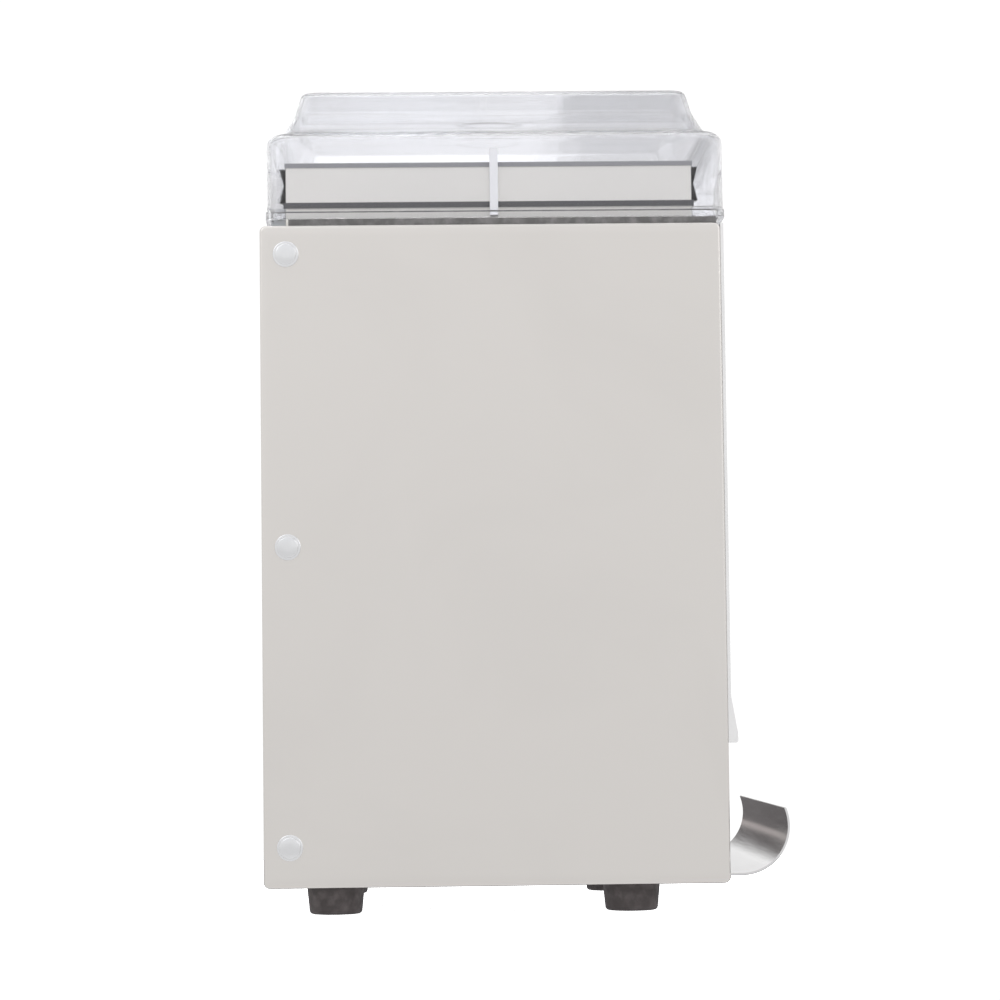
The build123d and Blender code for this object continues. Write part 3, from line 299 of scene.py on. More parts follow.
def brushed_metal(name, colour, roughness, along, fine=2600, grain=0.05, edge=0.0, smudge=0.03):
    """Rolled or brushed sheet: long fine streaks along one axis, with faint smudges."""
    metal = Material(name, colour, roughness, metallic=1.0)
    if edge:
        metal.soft_edges(edge)
    stretch = [1.0, 1.0, 1.0]
    stretch["XYZ".index(along)] = 0.006
    streaks = metal.noise(fine, 2.0, stretch)
    clouds = metal.noise(7, 4.0, distortion=0.6)
    metal.vary_roughness(streaks, grain)
    metal.vary_colour(clouds, 0.45, 0.75, [c * (1 - smudge) for c in colour])
    metal.bump(streaks, 0.00001, 0.35)
    return metal


def turned_metal(name, colour, roughness, scale=900, edge=0.0003):
    """Machined or plated metal with faint marks."""
    metal = Material(name, colour, roughness, metallic=1.0)
    metal.soft_edges(edge)
    marks = metal.noise(scale, 2.0)
    metal.vary_roughness(marks, 0.06)
    metal.vary_colour(metal.noise(40, 3.0), 0.4, 0.8, [c * 0.9 for c in colour])
    return metal


def moulded_plastic(name, colour, roughness, texture, depth, edge=0.0004, **sockets):
    """Plastic or paint with a fine texture: so many grains a metre, so many metres deep."""
    plastic = Material(name, colour, roughness, **sockets)
    plastic.soft_edges(edge)
    plastic.vary_colour(plastic.noise(9, 3.0), 0.4, 0.8, [c * 0.93 for c in colour])
    plastic.vary_roughness(plastic.noise(60, 3.0), 0.05)
    plastic.bump(plastic.noise(texture, 2.0), depth, 0.5)
    return plastic


def soft_rubber(name, colour, roughness, edge=0.0005):
    """Matt rubber with a dusty bloom."""
    rubber = Material(name, colour, roughness, Specular_IOR_Level=0.4)
    rubber.soft_edges(edge)
    rubber.vary_colour(rubber.noise(120, 5.0), 0.42, 0.7, [c * 1.7 + 0.01 for c in colour])
    rubber.vary_roughness(rubber.noise(300, 3.0), 0.1)
    rubber.bump(rubber.noise(1800, 4.0), 0.00008, 0.6)
    return rubber


def clear_sheet(name, tint, roughness):
    """Clear moulded plastic with faint handling marks."""
    clear = Material(name, tint, roughness, Transmission_Weight=1.0, IOR=1.36)
    clear.vary_roughness(clear.noise(24, 5.0, distortion=0.8), roughness * 0.7)
    return clear


def make_materials():
    sheet_edge = 0.8 * MM
    table = {
        "stainless": brushed_metal("stainless", (0.80, 0.775, 0.75), 0.36, "Y", edge=sheet_edge),
        "stainless_x": brushed_metal("stainless_across", (0.80, 0.78, 0.76), 0.33, "X", edge=sheet_edge),
        "polished": brushed_metal("polished_steel", (0.83, 0.83, 0.84), 0.14, "X", grain=0.03, smudge=0.05),
        "collar": brushed_metal("collar_steel", (0.88, 0.86, 0.82), 0.33, "Y", edge=0.0006),
        "zinc": brushed_metal("zinc_plate", (0.58, 0.60, 0.62), 0.42, "Z", 900, edge=sheet_edge, smudge=0.12),
        "case": brushed_metal("pressed_case", (0.68, 0.69, 0.70), 0.4, "Z", 700, edge=0.0006, smudge=0.1),
        "screw": turned_metal("bright_screws", (0.88, 0.89, 0.91), 0.16),
        "alloy": turned_metal("turned_alloy", (0.78, 0.785, 0.79), 0.27, edge=0.0006),
        "heater": turned_metal("heated_alloy", (0.62, 0.56, 0.50), 0.38, 500, edge=sheet_edge),
        "knife": turned_metal("ground_steel", (0.80, 0.81, 0.83), 0.15),
        "gear": turned_metal("machined_steel", (0.50, 0.51, 0.53), 0.34, edge=0.0002),
        "bronze": turned_metal("sintered_bronze", (0.66, 0.44, 0.22), 0.4, 1500),
        "motor": moulded_plastic("painted_motor", (0.28, 0.29, 0.30), 0.42, 900, 0.00006, sheet_edge,
                                 Metallic=0.3),
        "fascia": moulded_plastic("fascia_plastic", (0.87, 0.868, 0.87), 0.42, 1800, 0.00004),
        "black": moulded_plastic("black_plastic", (0.025, 0.025, 0.028), 0.46, 1500, 0.00005),
        "fittings": moulded_plastic("socket_plastic", (0.02, 0.02, 0.022), 0.35, 1500, 0.00004),
        "gloss": moulded_plastic("panel_gloss", (0.012, 0.013, 0.017), 0.12, 60, 0.0, 0.0003),
        "key": moulded_plastic("key_plastic", (0.62, 0.64, 0.67), 0.3, 2500, 0.00002, 0.0003),
        "window": moulded_plastic("tinted_window", (0.05, 0.006, 0.006), 0.08, 60, 0.0, 0.0002),
        "nylon": moulded_plastic("nylon", (0.82, 0.81, 0.77), 0.5, 1500, 0.00003),
        "spool": moulded_plastic("spool_plastic", (0.05, 0.05, 0.055), 0.4, 1500, 0.00003),
        "insulation": moulded_plastic("mineral_board", (0.74, 0.71, 0.64), 0.8, 700, 0.0003),
        "ptfe": moulded_plastic("non_stick_cloth", (0.55, 0.42, 0.25), 0.5, 1300, 0.0002),
        "rubber": soft_rubber("black_rubber", (0.012, 0.011, 0.011), 0.6),
        "foot": soft_rubber("foot_rubber", (0.07, 0.06, 0.06), 0.68),
        "belt": soft_rubber("belt_rubber", (0.015, 0.015, 0.016), 0.65),
        "gasket": soft_rubber("lid_gasket_foam", (0.15, 0.147, 0.147), 0.7),
        "silicone": soft_rubber("red_silicone", (0.55, 0.08, 0.05), 0.5),
        "lid": clear_sheet("lid_plastic", (0.93, 0.935, 0.955), 0.012),
        "web": clear_sheet("film_web", (0.93, 0.95, 0.98), 0.08),
        "rib": frosted_rib(),
        "trim": collar_edging(),
        "film": wound_film(),
        "board": circuit_board(),
        "fan": fan_finish(),
        "digits": lit_digits(),
    }
    table["lid"].see_through(0.28, (0.95, 0.952, 0.965))
    return {key: value.material for key, value in table.items()}


def frosted_rib():
    """The same plastic where a thick rib scatters the light and looks white."""
    rib = Material("frosted_rib", (0.97, 0.97, 0.985), 0.45, metallic=0.75)
    rib.vary_roughness(rib.noise(300, 2.0), 0.08)
    return rib


def collar_edging():
    """Grey edging on the collar's top; the strip low on its outside is darker."""
    edging = moulded_plastic("collar_edging", (0.30, 0.30, 0.32), 0.34, 1500, 0.00003)
    strip_top = 530 * MM
    edging.vary_colour(edging.place("Z"), strip_top, strip_top - 2 * MM, (0.10, 0.10, 0.105))
    return edging


def wound_film():
    """Clear film wound tight: milky, glossy, with fine rings on its ends."""
    film = Material("wound_film", (0.80, 0.84, 0.88), 0.22, Specular_IOR_Level=0.6, Coat_Weight=0.5)
    film.soft_edges(0.0005)
    film.vary_colour(film.noise(900, 3.0, (0.02, 1, 1)), 0.4, 0.65, (0.66, 0.71, 0.77))
    film.vary_roughness(film.noise(35, 3.0, (0.3, 1, 1)), 0.07)
    film.bump(film.noise(1400, 3.0, (0.05, 1, 1)), 0.00006, 0.5)
    return film


def circuit_board():
    """Green solder mask on the board itself, darker parts standing on it."""
    board = Material("circuit_board", (0.02, 0.16, 0.06), 0.35)
    board.soft_edges(0.0004)
    board.vary_colour(board.noise(420, 1.0), 0.52, 0.56, (0.03, 0.22, 0.09))
    board.vary_colour(board.noise(130, 0.0), 0.60, 0.62, (0.02, 0.02, 0.025))
    return board


def fan_finish():
    """Black moulded housing, with the wire guard outside the cover plated."""
    fan = moulded_plastic("fan_plastic", (0.02, 0.02, 0.022), 0.4, 1500, 0.00004)
    depth = fan.place("Y")
    outside = SIDE_HIGH.y - 3.8 * MM
    change = (outside, outside + 0.1 * MM)
    fan.vary_colour(depth, *change, (0.8, 0.81, 0.83))
    fan.tree.links.new(fan.ramp(depth, *change, 0, 1), fan.shader.inputs["Metallic"])
    return fan


def lit_digits():
    """Glowing red segments, a little uneven."""
    glow = Material("display_digits", (0.9, 0.08, 0.03), 0.4, Emission_Color=(1.0, 0.12, 0.05, 1),
                    Emission_Strength=2.2)
    glow.vary_colour(glow.noise(700, 1.0), 0.45, 0.6, (0.8, 0.05, 0.02))
    return glow


# ---------------------------------------------------------------- mesh helpers
def round_edges(piece, width, segments, angle):
    rounding = piece.modifiers.new("rounding", "BEVEL")
    rounding.width = width
    rounding.segments = segments
    rounding.limit_method = "ANGLE"
    rounding.angle_limit = math.radians(angle)
    rounding.harden_normals = True


def add_piece(name, mesh, body, material, replaces=(), bevel=0.0, segments=3, smooth=40):
    """Make the object, round its edges, shade it, tie it to its body and hide the CAD nodes it replaces.

    A piece without a body is left without a parent.
    """
    piece = bpy.data.objects.new(name, mesh)
    bpy.context.scene.collection.objects.link(piece)
    mesh.materials.clear()
    mesh.materials.append(material)
    for polygon in mesh.polygons:
        polygon.use_smooth = True
    mesh.set_sharp_from_angle(angle=math.radians(smooth))
    if bevel:
        round_edges(piece, bevel, segments, 35)
    if body:
        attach(piece, body)
    if replaces:
        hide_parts(*replaces)
    return piece


def mesh_from(name, bm):
    bmesh.ops.recalc_face_normals(bm, faces=bm.faces)
    mesh = bpy.data.meshes.new(name)
    bm.to_mesh(mesh)
    bm.free()
    return mesh


def loft(bm, loops, close_first=False, close_last=False, ring=False):
    """Quads between rings of points of equal length; ring joins the last back to the first."""
    rings = [[bm.verts.new(p) for p in loop] for loop in loops]
    count = len(rings[0])
    pairs = list(zip(rings, rings[1:]))
    if ring:
        pairs.append((rings[-1], rings[0]))
    for a, b in pairs:
        for i in range(count):
            j = (i + 1) % count
            bm.faces.new((a[i], a[j], b[j], b[i]))
    if close_first:
        bm.faces.new(list(reversed(rings[0])))
    if close_last:
        bm.faces.new(rings[-1])


def prism(bm, outline, low, high, axis="X"):
    """Closed outline pulled along an axis: (y, z) points for X, (x, z) for Y and (x, y) for Z."""
    def at(point, level):
        a, b = point
        return {"X": (level, a, b), "Y": (a, level, b), "Z": (a, b, level)}[axis]

    loft(bm, [[at(p, low) for p in outline], [at(p, high) for p in outline]], True, True)


def rectangle(a0, b0, a1, b1):
    return [(a0, b0), (a1, b0), (a1, b1), (a0, b1)]


def cuboid(bm, low, high):
    prism(bm, rectangle(low[0], low[1], high[0], high[1]), low[2], high[2], "Z")


def turned_profile(points):
    """A lathe's (radius, height) points given in millimetres."""
    return [(radius * MM, height * MM) for radius, height in points]


def circle_directions(count):
    """Cosine and sine of each of so many equal steps round a circle."""
    for index in range(count):
        angle = 2 * math.pi * index / count
        yield math.cos(angle), math.sin(angle)


def turned_rings(profile, centre, axis, steps):
    """Rings of points about an axis through centre, one for each (radius, height)."""
    centre = Vector(centre)
    rings = []
    for radius, height in profile:
        ring = []
        for across, along in circle_directions(steps):
            u, v = radius * across, radius * along
            point = {"X": (height, u, v), "Y": (u, height, v), "Z": (u, v, height)}[axis]
            ring.append(centre + Vector(point))
        rings.append(ring)
    return rings


def lathe(bm, profile, centre, axis="Z", steps=48):
    """Turn (radius, height) points about an axis through centre; zero radii close the ends."""
    least, join = 1e-6, 5e-6
    profile = [(max(radius, least), height) for radius, height in profile]
    loft(bm, turned_rings(profile, centre, axis, steps), True, True)
    bmesh.ops.remove_doubles(bm, verts=bm.verts, dist=join)


def rounded_rectangle(half_a, half_b, radius, steps=8):
    """Points round a rectangle with round corners, the same number whatever the radius."""
    points = []
    for quarter, (sa, sb) in enumerate(((1, 1), (-1, 1), (-1, -1), (1, -1))):
        for step in range(steps + 1):
            angle = math.pi / 2 * (quarter + step / steps)
            points.append((
                sa * (half_a - radius) + radius * math.cos(angle),
                sb * (half_b - radius) + radius * math.sin(angle),
            ))
    return points


def offset_corners(corners, thickness):
    """Move an open outline of (u, v, corner radius) to its right by the thickness."""
    least_radius = 0.2 * MM
    lines = []
    for (u0, v0, _), (u1, v1, _) in zip(corners, corners[1:]):
        direction = Vector((u1 - u0, v1 - v0)).normalized()
        normal = Vector((direction.y, -direction.x))
        lines.append((Vector((u0, v0)) + normal * thickness, direction))
    moved = [(*lines[0][0], 0)]
    for (p, d), (q, e), (_, _, radius) in zip(lines, lines[1:], corners[1:]):
        cross = d.x * e.y - d.y * e.x
        gap = q - p
        meet = p + d * ((gap.x * e.y - gap.y * e.x) / cross)
        turn = thickness if cross > 0 else -thickness
        moved.append((*meet, max(radius + turn, least_radius)))
    last = lines[-1]
    length = (Vector(corners[-1][:2]) - Vector(corners[-2][:2])).length
    moved.append((*(last[0] + last[1] * length), 0))
    return moved


def round_corners(corners, steps=6):
    """Points along an open outline of (u, v, corner radius), each corner an arc."""
    points = [Vector(corners[0][:2])]
    for before, (u, v, radius), after in zip(corners, corners[1:], corners[2:]):
        corner = Vector((u, v))
        back = (Vector(before[:2]) - corner).normalized()
        on = (Vector(after[:2]) - corner).normalized()
        half = back.angle(on) / 2
        reach = radius / math.tan(half)
        centre = corner + (back + on).normalized() * (radius / math.sin(half))
        start = corner + back * reach - centre
        sweep = start.angle_signed(corner + on * reach - centre)
        for step in range(steps + 1):
            points.append(centre + Matrix.Rotation(-sweep * step / steps, 2) @ start)
    points.append(Vector(corners[-1][:2]))
    return points


def boolean_cut(piece, cutter_mesh, name):
    """Cut a shape out of a piece for good."""
    cutter = bpy.data.objects.new(name, cutter_mesh)
    bpy.context.scene.collection.objects.link(cutter)
    cut = piece.modifiers.new("cut", "BOOLEAN")
    cut.operation = "DIFFERENCE"
    cut.solver = "EXACT"
    cut.object = cutter
    with bpy.context.temp_override(object=piece, active_object=piece, selected_objects=[piece]):
        bpy.ops.object.modifier_apply(modifier=cut.name)
    bpy.data.objects.remove(cutter)


# ---------------------------------------------------------------- the clear lid
LID_LOW, LID_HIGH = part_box("clear_lid")
RIM = 1.0 * MM                # how far the rim stands out of the wall
LID_MIDDLE_Y = (LID_LOW.y + LID_HIGH.y) / 2
LID_HALF_X = (LID_HIGH.x - LID_LOW.x) / 2 - RIM
LID_HALF_Y = (LID_HIGH.y - LID_LOW.y) / 2 - RIM
LID_WALL = 2.6 * MM
LID_CORNER = 14 * MM          # radius of the wall's corners from above
OVAL_HALF_X, OVAL_HALF_Y = 16 * MM, 27 * MM

# Rings in millimetres. The rim's and the inner edge's: how far inside the wall, and height
RIM_STEPS = [(-0.6, 0), (-1.0, 0.4), (-1.0, 5.9), (-0.7, 6.4), (-0.1, 6.9), (0, 7.4)]
INNER_EDGE_STEPS = [(-0.2, 0), (0, 0.3)]
BEAD_STEPS = [(0.05, 0), (0.75, 0.15), (0.75, 0.75), (0.05, 0.9)]
# The recess's edge: how far each ring is inside its outline, and how far below the top
OVAL_STEPS = [(0, 0), (1.0, 0.03), (2.0, 0.15), (3.0, 0.4), (4.0, 0.6), (5.0, 0.7), (8, 0.7), (12, 0.7)]


def lid_corners():
    """Wall, shoulder, waist, upper wall and top: inset from the wall, height, corner radius."""
    base, top = LID_LOW.z, LID_HIGH.z
    return [
        (0, base + 8 * MM, 0),
        (0, top - 36.5 * MM, 10 * MM),
        (12.5 * MM, top - 32.5 * MM, 7 * MM),
        (20.5 * MM, top - 18 * MM, 22 * MM),
        (25.5 * MM, top, 5 * MM),
        (48 * MM, top, 0),
    ]


def lid_loop(inset, height):
    """One ring of the lid; its corners tighten a little towards the top."""
    outline = rounded_rectangle(LID_HALF_X - inset, LID_HALF_Y - inset, LID_CORNER - 0.2 * inset)
    return [(x, LID_MIDDLE_Y + y, height) for x, y in outline]


def oval_loop(shrink, height):
    """Ring of the shallow oval recess in the lid's top, as many points as the lid's loops."""
    half_x, half_y = OVAL_HALF_X - shrink, OVAL_HALF_Y - shrink
    count = len(lid_loop(0, 0))
    points = []
    for index in range(count):
        angle = 2 * math.pi * (index + 0.5) / count
        points.append((half_x * math.cos(angle), LID_MIDDLE_Y + half_y * math.sin(angle), height))
    return points


def lid_surface(corners):
    """Rings up a wall, over the top and down into the oval recess in its middle."""
    top = corners[-1][1]
    loops = [lid_loop(p.x, p.y) for p in round_corners(corners)]
    for shrink, drop in OVAL_STEPS:
        loops.append(oval_loop(shrink * MM, top - drop * MM))
    return loops


def make_lid(materials):
    """Walls, shoulder and top as one shell, with the bead and the ribs inside it."""
    base = LID_LOW.z
    outer = lid_corners()
    inner = offset_corners(outer, LID_WALL)
    outside = [lid_loop(u * MM, base + v * MM) for u, v in RIM_STEPS] + lid_surface(outer)
    inside = [lid_loop(LID_WALL + u * MM, base + v * MM) for u, v in INNER_EDGE_STEPS] + lid_surface(inner)
    bm = bmesh.new()
    loft(bm, list(reversed(outside)) + inside, True, True)
    shell = add_piece("lid_shell", mesh_from("lid_shell", bm), "lid", materials["lid"],
                      ("clear_lid",), smooth=50)
    bead = make_lid_bead(materials)
    cut_hinge_notches(shell)
    cut_hinge_notches(bead)
    # Clear plastic throws almost no shadow, so light reaches what is under the lid
    shell.visible_shadow = False
    shell.visible_diffuse = False
    make_lid_ribs(materials)


def cut_hinge_notches(piece):
    """Room at the back for the two brackets, which stay on the deck as the lid lifts."""
    bracket_low, bracket_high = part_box("hinge_brackets")
    half_width, height, front_gap, past = 12 * MM, 15.5 * MM, 5.4 * MM, 2 * MM
    lug_x = (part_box("hinge_lugs")[1].x + bracket_high.x) / 2 - 6.7 * MM
    for x in (-lug_x, lug_x):
        bm = bmesh.new()
        cuboid(bm, (x - half_width, bracket_low.y + front_gap, LID_LOW.z - past),
               (x + half_width, LID_HIGH.y + past, LID_LOW.z + height))
        boolean_cut(piece, mesh_from("notch", bm), "notch")


def make_lid_ribs(materials):
    """One upright rib inside each side wall."""
    middle_y = SIDE_LOW.y + 165.4 * MM
    bottom, top = LID_LOW.z + 2 * MM, LID_HIGH.z - 47 * MM
    half, depth, gap = 3.1 * MM, 1.9 * MM, 0.05 * MM
    for side, label in ((-1, "left"), (1, "right")):
        wall = side * (LID_HALF_X - LID_WALL - gap)
        bm = bmesh.new()
        x = sorted((wall, wall - side * depth))
        cuboid(bm, (x[0], middle_y - half, bottom), (x[1], middle_y + half, top))
        add_piece(f"lid_rib_{label}", mesh_from("rib", bm), "lid", materials["rib"],
                  bevel=0.5 * MM)


def make_lid_bead(materials):
    """Thin dark bead inside the lid's wall, just above its edge."""
    height = LID_LOW.z + 4.4 * MM
    bm = bmesh.new()
    loft(bm, [lid_loop(LID_WALL + u * MM, height + v * MM) for u, v in BEAD_STEPS], ring=True)
    return add_piece("lid_edge_bead", mesh_from("bead", bm), "lid", materials["gasket"])


# ---------------------------------------------------------------- casing
SHEET = 1.2 * MM
FOOT_X = 128 * MM
FOOT_RADIUS = 20.8 * MM

# (radius, height) in millimetres
FOOT_PROFILE = [
    (6.0, 9.0), (6.0, 0.9), (6.5, 0.2), (7.2, 0.0), (16.4, 0.0), (17.6, 0.3), (18.5, 1.0), (18.95, 2.2),
    (20.6, 18.4), (20.7, 19.2), (20.2, 19.9), (10.0, 20.0), (10.0, 21.1), (2.6, 21.1), (2.6, 9.0),
]
FOOT_SCREW_PROFILE = [
    (0, 6.6), (2.0, 6.6), (2.2, 6.0), (4.2, 6.0), (4.5, 6.4), (4.5, 9.0), (2.5, 9.0), (2.5, 21), (0, 21),
]
WASHER_PROFILE = [(0, 0), (9.5, 0), (9.5, 0.5), (9.1, 0.85), (7.6, 0.95), (0, 0.95)]
CAP_PROFILE = [(8.2, 0.9), (8.2, 2.1), (7.6, 2.75), (5.4, 3.1), (2.5, 3.2)]
PAN_HEAD_PROFILE = [
    (0, 0.9), (1.2, 0.9), (1.5, 2.7), (2.0, 3.1), (3.2, 2.6), (4.0, 1.5), (4.2, 0.4), (4.2, 0), (0, 0),
]


def make_side_panels(materials):
    """Pressed sheet with rolled edges, and the wide front return behind the fascia."""
    bend, corner, least_corner = 1.8 * MM, 4.4 * MM, 0.5 * MM
    flat_inset, edge_depth, lip, steps = 8 * MM, 2.6 * MM, 0.6 * MM, 6
    for side, label in ((-1, "left"), (1, "right")):
        node = f"{label}_side_panel"
        low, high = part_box(node)
        outer = max(abs(low.x), abs(high.x))
        middle = ((low.y + high.y) / 2, (low.z + high.z) / 2)
        half = ((high.y - low.y) / 2, (high.z - low.z) / 2)

        def ring(inset, x):
            radius = max(corner - inset, least_corner)
            outline = rounded_rectangle(half[0] - inset, half[1] - inset, radius, 6)
            return [(side * x, middle[0] + a, middle[1] + b) for a, b in outline]

        loops = [ring(flat_inset, outer)]
        for step in range(steps + 1):
            angle = math.pi / 2 * step / steps
            loops.append(ring(bend * (1 - math.sin(angle)), outer - bend * (1 - math.cos(angle))))
        loops.append(ring(0, outer - edge_depth))
        loops.append(ring(SHEET, outer - edge_depth))
        loops.append(ring(SHEET, outer - bend))
        loops.append(ring(SHEET + lip, outer - SHEET))
        bm = bmesh.new()
        loft(bm, loops, True, True)
        for box_low, box_high in panel_returns(low, high, outer - SHEET, side):
            cuboid(bm, box_low, box_high)
        add_piece(f"{node}_sheet", mesh_from(node, bm), "chassis", materials["stainless"],
                  (node,))


def panel_returns(low, high, inner, side):
    """The folded strips behind a side panel's front, top, bottom and rear edges."""
    margin, cover_inset, front_bottom, gap = 5.4 * MM, 5.0 * MM, 52 * MM, 0.02 * MM
    rear = high.y - cover_inset
    front_back = (low.y + margin, high.y - margin)
    strips = [
        (45 * MM, low.y, low.y + SHEET, front_bottom, high.z - margin),
        (6 * MM, *front_back, high.z - SHEET, high.z),
        (18 * MM, *front_back, low.z, low.z + SHEET),
        (12 * MM, rear - SHEET, rear, low.z + margin + 2 * MM, high.z - margin),
    ]
    inner -= gap
    for reach, y0, y1, z0, z1 in strips:
        x = sorted((side * (inner - reach), side * inner))
        yield (x[0], y0, z0), (x[1], y1, z1)


def make_casing_screws(materials):
    """Faceted cap screws on the sides, pan heads at the back and screws in the feet."""
    bm = bmesh.new()
    for side in (-1, 1):
        for z in (49, 266, 480):
            cap_screw(bm, side, -SIDE_LOW.x, SIDE_HIGH.y - 19 * MM, z * MM)
    add_piece("side_cap_screws", mesh_from("cap_screws", bm), "chassis", materials["screw"],
              ("casing_screws",), bevel=0.35 * MM, segments=2, smooth=30)
    bm = bmesh.new()
    cover_y = SIDE_HIGH.y - 3.5 * MM
    for x in (-151, 151):
        for z in (60, 264, 470):
            lathe(bm, turned_profile(PAN_HEAD_PROFILE), (x * MM, cover_y, z * MM), "Y", 36)
    add_piece("rear_cover_screws", mesh_from("pan_screws", bm), "chassis", materials["screw"])
    bm = bmesh.new()
    for x, y in foot_places():
        lathe(bm, turned_profile(FOOT_SCREW_PROFILE), (x, y, 0), "Z", 32)
    add_piece("foot_screws", mesh_from("foot_screws", bm), "chassis", materials["screw"])


def cap_screw(bm, side, outer, y, z):
    """A washer and a domed cap whose twelve corners alternate, for its facets."""
    washer = [(radius * MM, side * (outer + height * MM)) for radius, height in WASHER_PROFILE]
    lathe(bm, washer, (0, y, z), "X", 48)
    turned, short = math.radians(8), 0.955
    loops = []
    for radius, height in CAP_PROFILE:
        loop = []
        for step in range(12):
            angle = math.pi / 6 * step + turned
            reach = radius * (1.0 if step % 2 else short)
            loop.append((
                side * (outer + height * MM),
                y + reach * MM * math.cos(angle),
                z + reach * MM * math.sin(angle),
            ))
        loops.append(loop)
    loft(bm, loops, True, True)


def foot_places():
    low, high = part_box("rubber_feet")
    return [(x, y) for x in (-FOOT_X, FOOT_X) for y in (low.y + FOOT_RADIUS, high.y - FOOT_RADIUS)]


def make_feet(materials):
    """Turned rubber feet with rounded shoulders and a screw recess."""
    bm = bmesh.new()
    for x, y in foot_places():
        loft(bm, turned_rings(turned_profile(FOOT_PROFILE), (x, y, 0), "Z", 56), ring=True)
    add_piece("feet_rubber", mesh_from("feet", bm), "chassis", materials["foot"],
              ("rubber_feet",))


# ---------------------------------------------------------------- drip tray
def make_tray(materials):
    """Floor and rolled lip as one bent sheet, with side and back walls."""
    low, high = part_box("drip_tray")
    radius, sheet, wall_top, half = 35.2 * MM, 1.5 * MM, 50 * MM, 156 * MM
    centre = Vector((low.y + radius, low.z + radius))
    start_angle, end_angle, steps, hem_steps = math.radians(270), math.radians(180 - 21), 40, 6

    def arc(r):
        angles = [start_angle + (end_angle - start_angle) * i / steps for i in range(steps + 1)]
        return [(centre.x + r * math.cos(a), centre.y + r * math.sin(a)) for a in angles]

    outer, inner = arc(radius), arc(radius - sheet)
    tip = (Vector(outer[-1]) + Vector(inner[-1])) / 2
    across = (Vector(outer[-1]) - Vector(inner[-1])) / 2
    along = Vector((-across.y, across.x))
    hem_angles = [math.pi * i / hem_steps for i in range(1, hem_steps)]
    hem = [tuple(tip + across * math.cos(a) - along * math.sin(a)) for a in hem_angles]
    lip_back = SIDE_LOW.y + 1.0 * MM
    lip = outer + hem + list(reversed(inner)) + [(lip_back, low.z + sheet), (lip_back, low.z)]
    bm = bmesh.new()
    prism(bm, lip, -high.x, high.x)
    # The sheets run into each other; a hair's difference keeps their faces apart
    hair = 0.01 * MM
    floor_front, side_front, back = lip_back - 0.5 * MM, SIDE_LOW.y + 1.5 * MM, high.y
    cuboid(bm, (-half, floor_front, low.z + hair), (half, back, low.z + sheet - hair))
    for side in (-1, 1):
        x = sorted((side * half, side * (half - sheet)))
        cuboid(bm, (x[0], side_front, low.z + 2 * hair), (x[1], back, wall_top))
    cuboid(bm, (-half, back - sheet, low.z + 3 * hair), (half, back - hair, wall_top - hair))
    add_piece("tray_and_lip", mesh_from("tray", bm), "tray", materials["polished"],
              ("drip_tray",), smooth=32)


# ---------------------------------------------------------------- fascia and controls
KEYS = {"mode_key": "dot", "manual_key": "bar", "lower_key": "down", "raise_key": "up"}


def cut_fascia(piece, name, build):
    """Cut out of the moulding what build puts into a new mesh."""
    bm = bmesh.new()
    build(bm)
    boolean_cut(piece, mesh_from(name, bm), name)


def make_fascia(materials):
    """The flared front moulding, with the bay's arch, the panel's recess and the key holes."""
    low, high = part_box("front_fascia")
    panel_low, panel_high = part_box("control_panel")
    front, back = panel_low.y, SIDE_LOW.y - 0.02 * MM
    flare_start, flare_end, lip_gap = low.z + 34 * MM, low.z + 8 * MM, 0.4 * MM
    profile = [
        (back, high.z, 0),
        (front, high.z, 1.0 * MM),
        (front, flare_start, 30 * MM),
        (low.y + lip_gap, flare_end, 6 * MM),
        (low.y, low.z, 1.6 * MM),
        (back, low.z, 0),
    ]
    bm = bmesh.new()
    prism(bm, [tuple(p) for p in round_corners(profile, 8)], low.x, high.x)
    piece = add_piece("fascia_moulding", mesh_from("fascia", bm), "chassis",
                      materials["fascia"], ("front_fascia",), smooth=32)

    arch_half, arch_top, arch_corner, past, below = 112 * MM, 270 * MM, 24 * MM, 20 * MM, 60 * MM
    height = arch_top - (low.z - below)
    arch = rounded_rectangle(arch_half, height / 2, arch_corner, 14)
    outline = [(x, arch_top - height / 2 + z) for x, z in arch]
    cut_fascia(piece, "arch", lambda bm: prism(bm, outline, low.y - past, SIDE_LOW.y + past, "Y"))

    margin, before, behind = 0.3 * MM, 5 * MM, 1.0 * MM
    recess_low = (panel_low.x - margin, front - before, panel_low.z - margin)
    recess_high = (panel_high.x + margin, front + behind, panel_high.z + margin)
    cut_fascia(piece, "recess", lambda bm: cuboid(bm, recess_low, recess_high))

    hole = turned_profile([(0, -5), (6.9, -5), (6.9, 6), (0, 6)])
    for node in KEYS:
        key_low, key_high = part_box(node)
        centre = ((key_low.x + key_high.x) / 2, front, (key_low.z + key_high.z) / 2)
        cut_fascia(piece, "key_hole", lambda bm: lathe(bm, hole, centre, "Y", 40))
    round_edges(piece, 0.7 * MM, 3, 50)


SEGMENTS = {"1": "bc", "5": "afgcd", "6": "afgecd"}
READING = "165"               # the temperature it shows


def make_display(materials):
    """Glowing seven-segment digits on the display window."""
    low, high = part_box("display_window")
    width, height, gap = 8 * MM, 15 * MM, 4.2 * MM
    start = (low.x + high.x) / 2 - (len(READING) * width + (len(READING) - 1) * gap) / 2
    bottom = (low.z + high.z) / 2 - height / 2
    bm = bmesh.new()
    for index, digit in enumerate(READING):
        for segment in SEGMENTS[digit]:
            digit_segment(bm, segment, start + index * (width + gap), low.y, bottom, width, height)
    add_piece("display_digits", mesh_from("digits", bm), "chassis", materials["digits"])


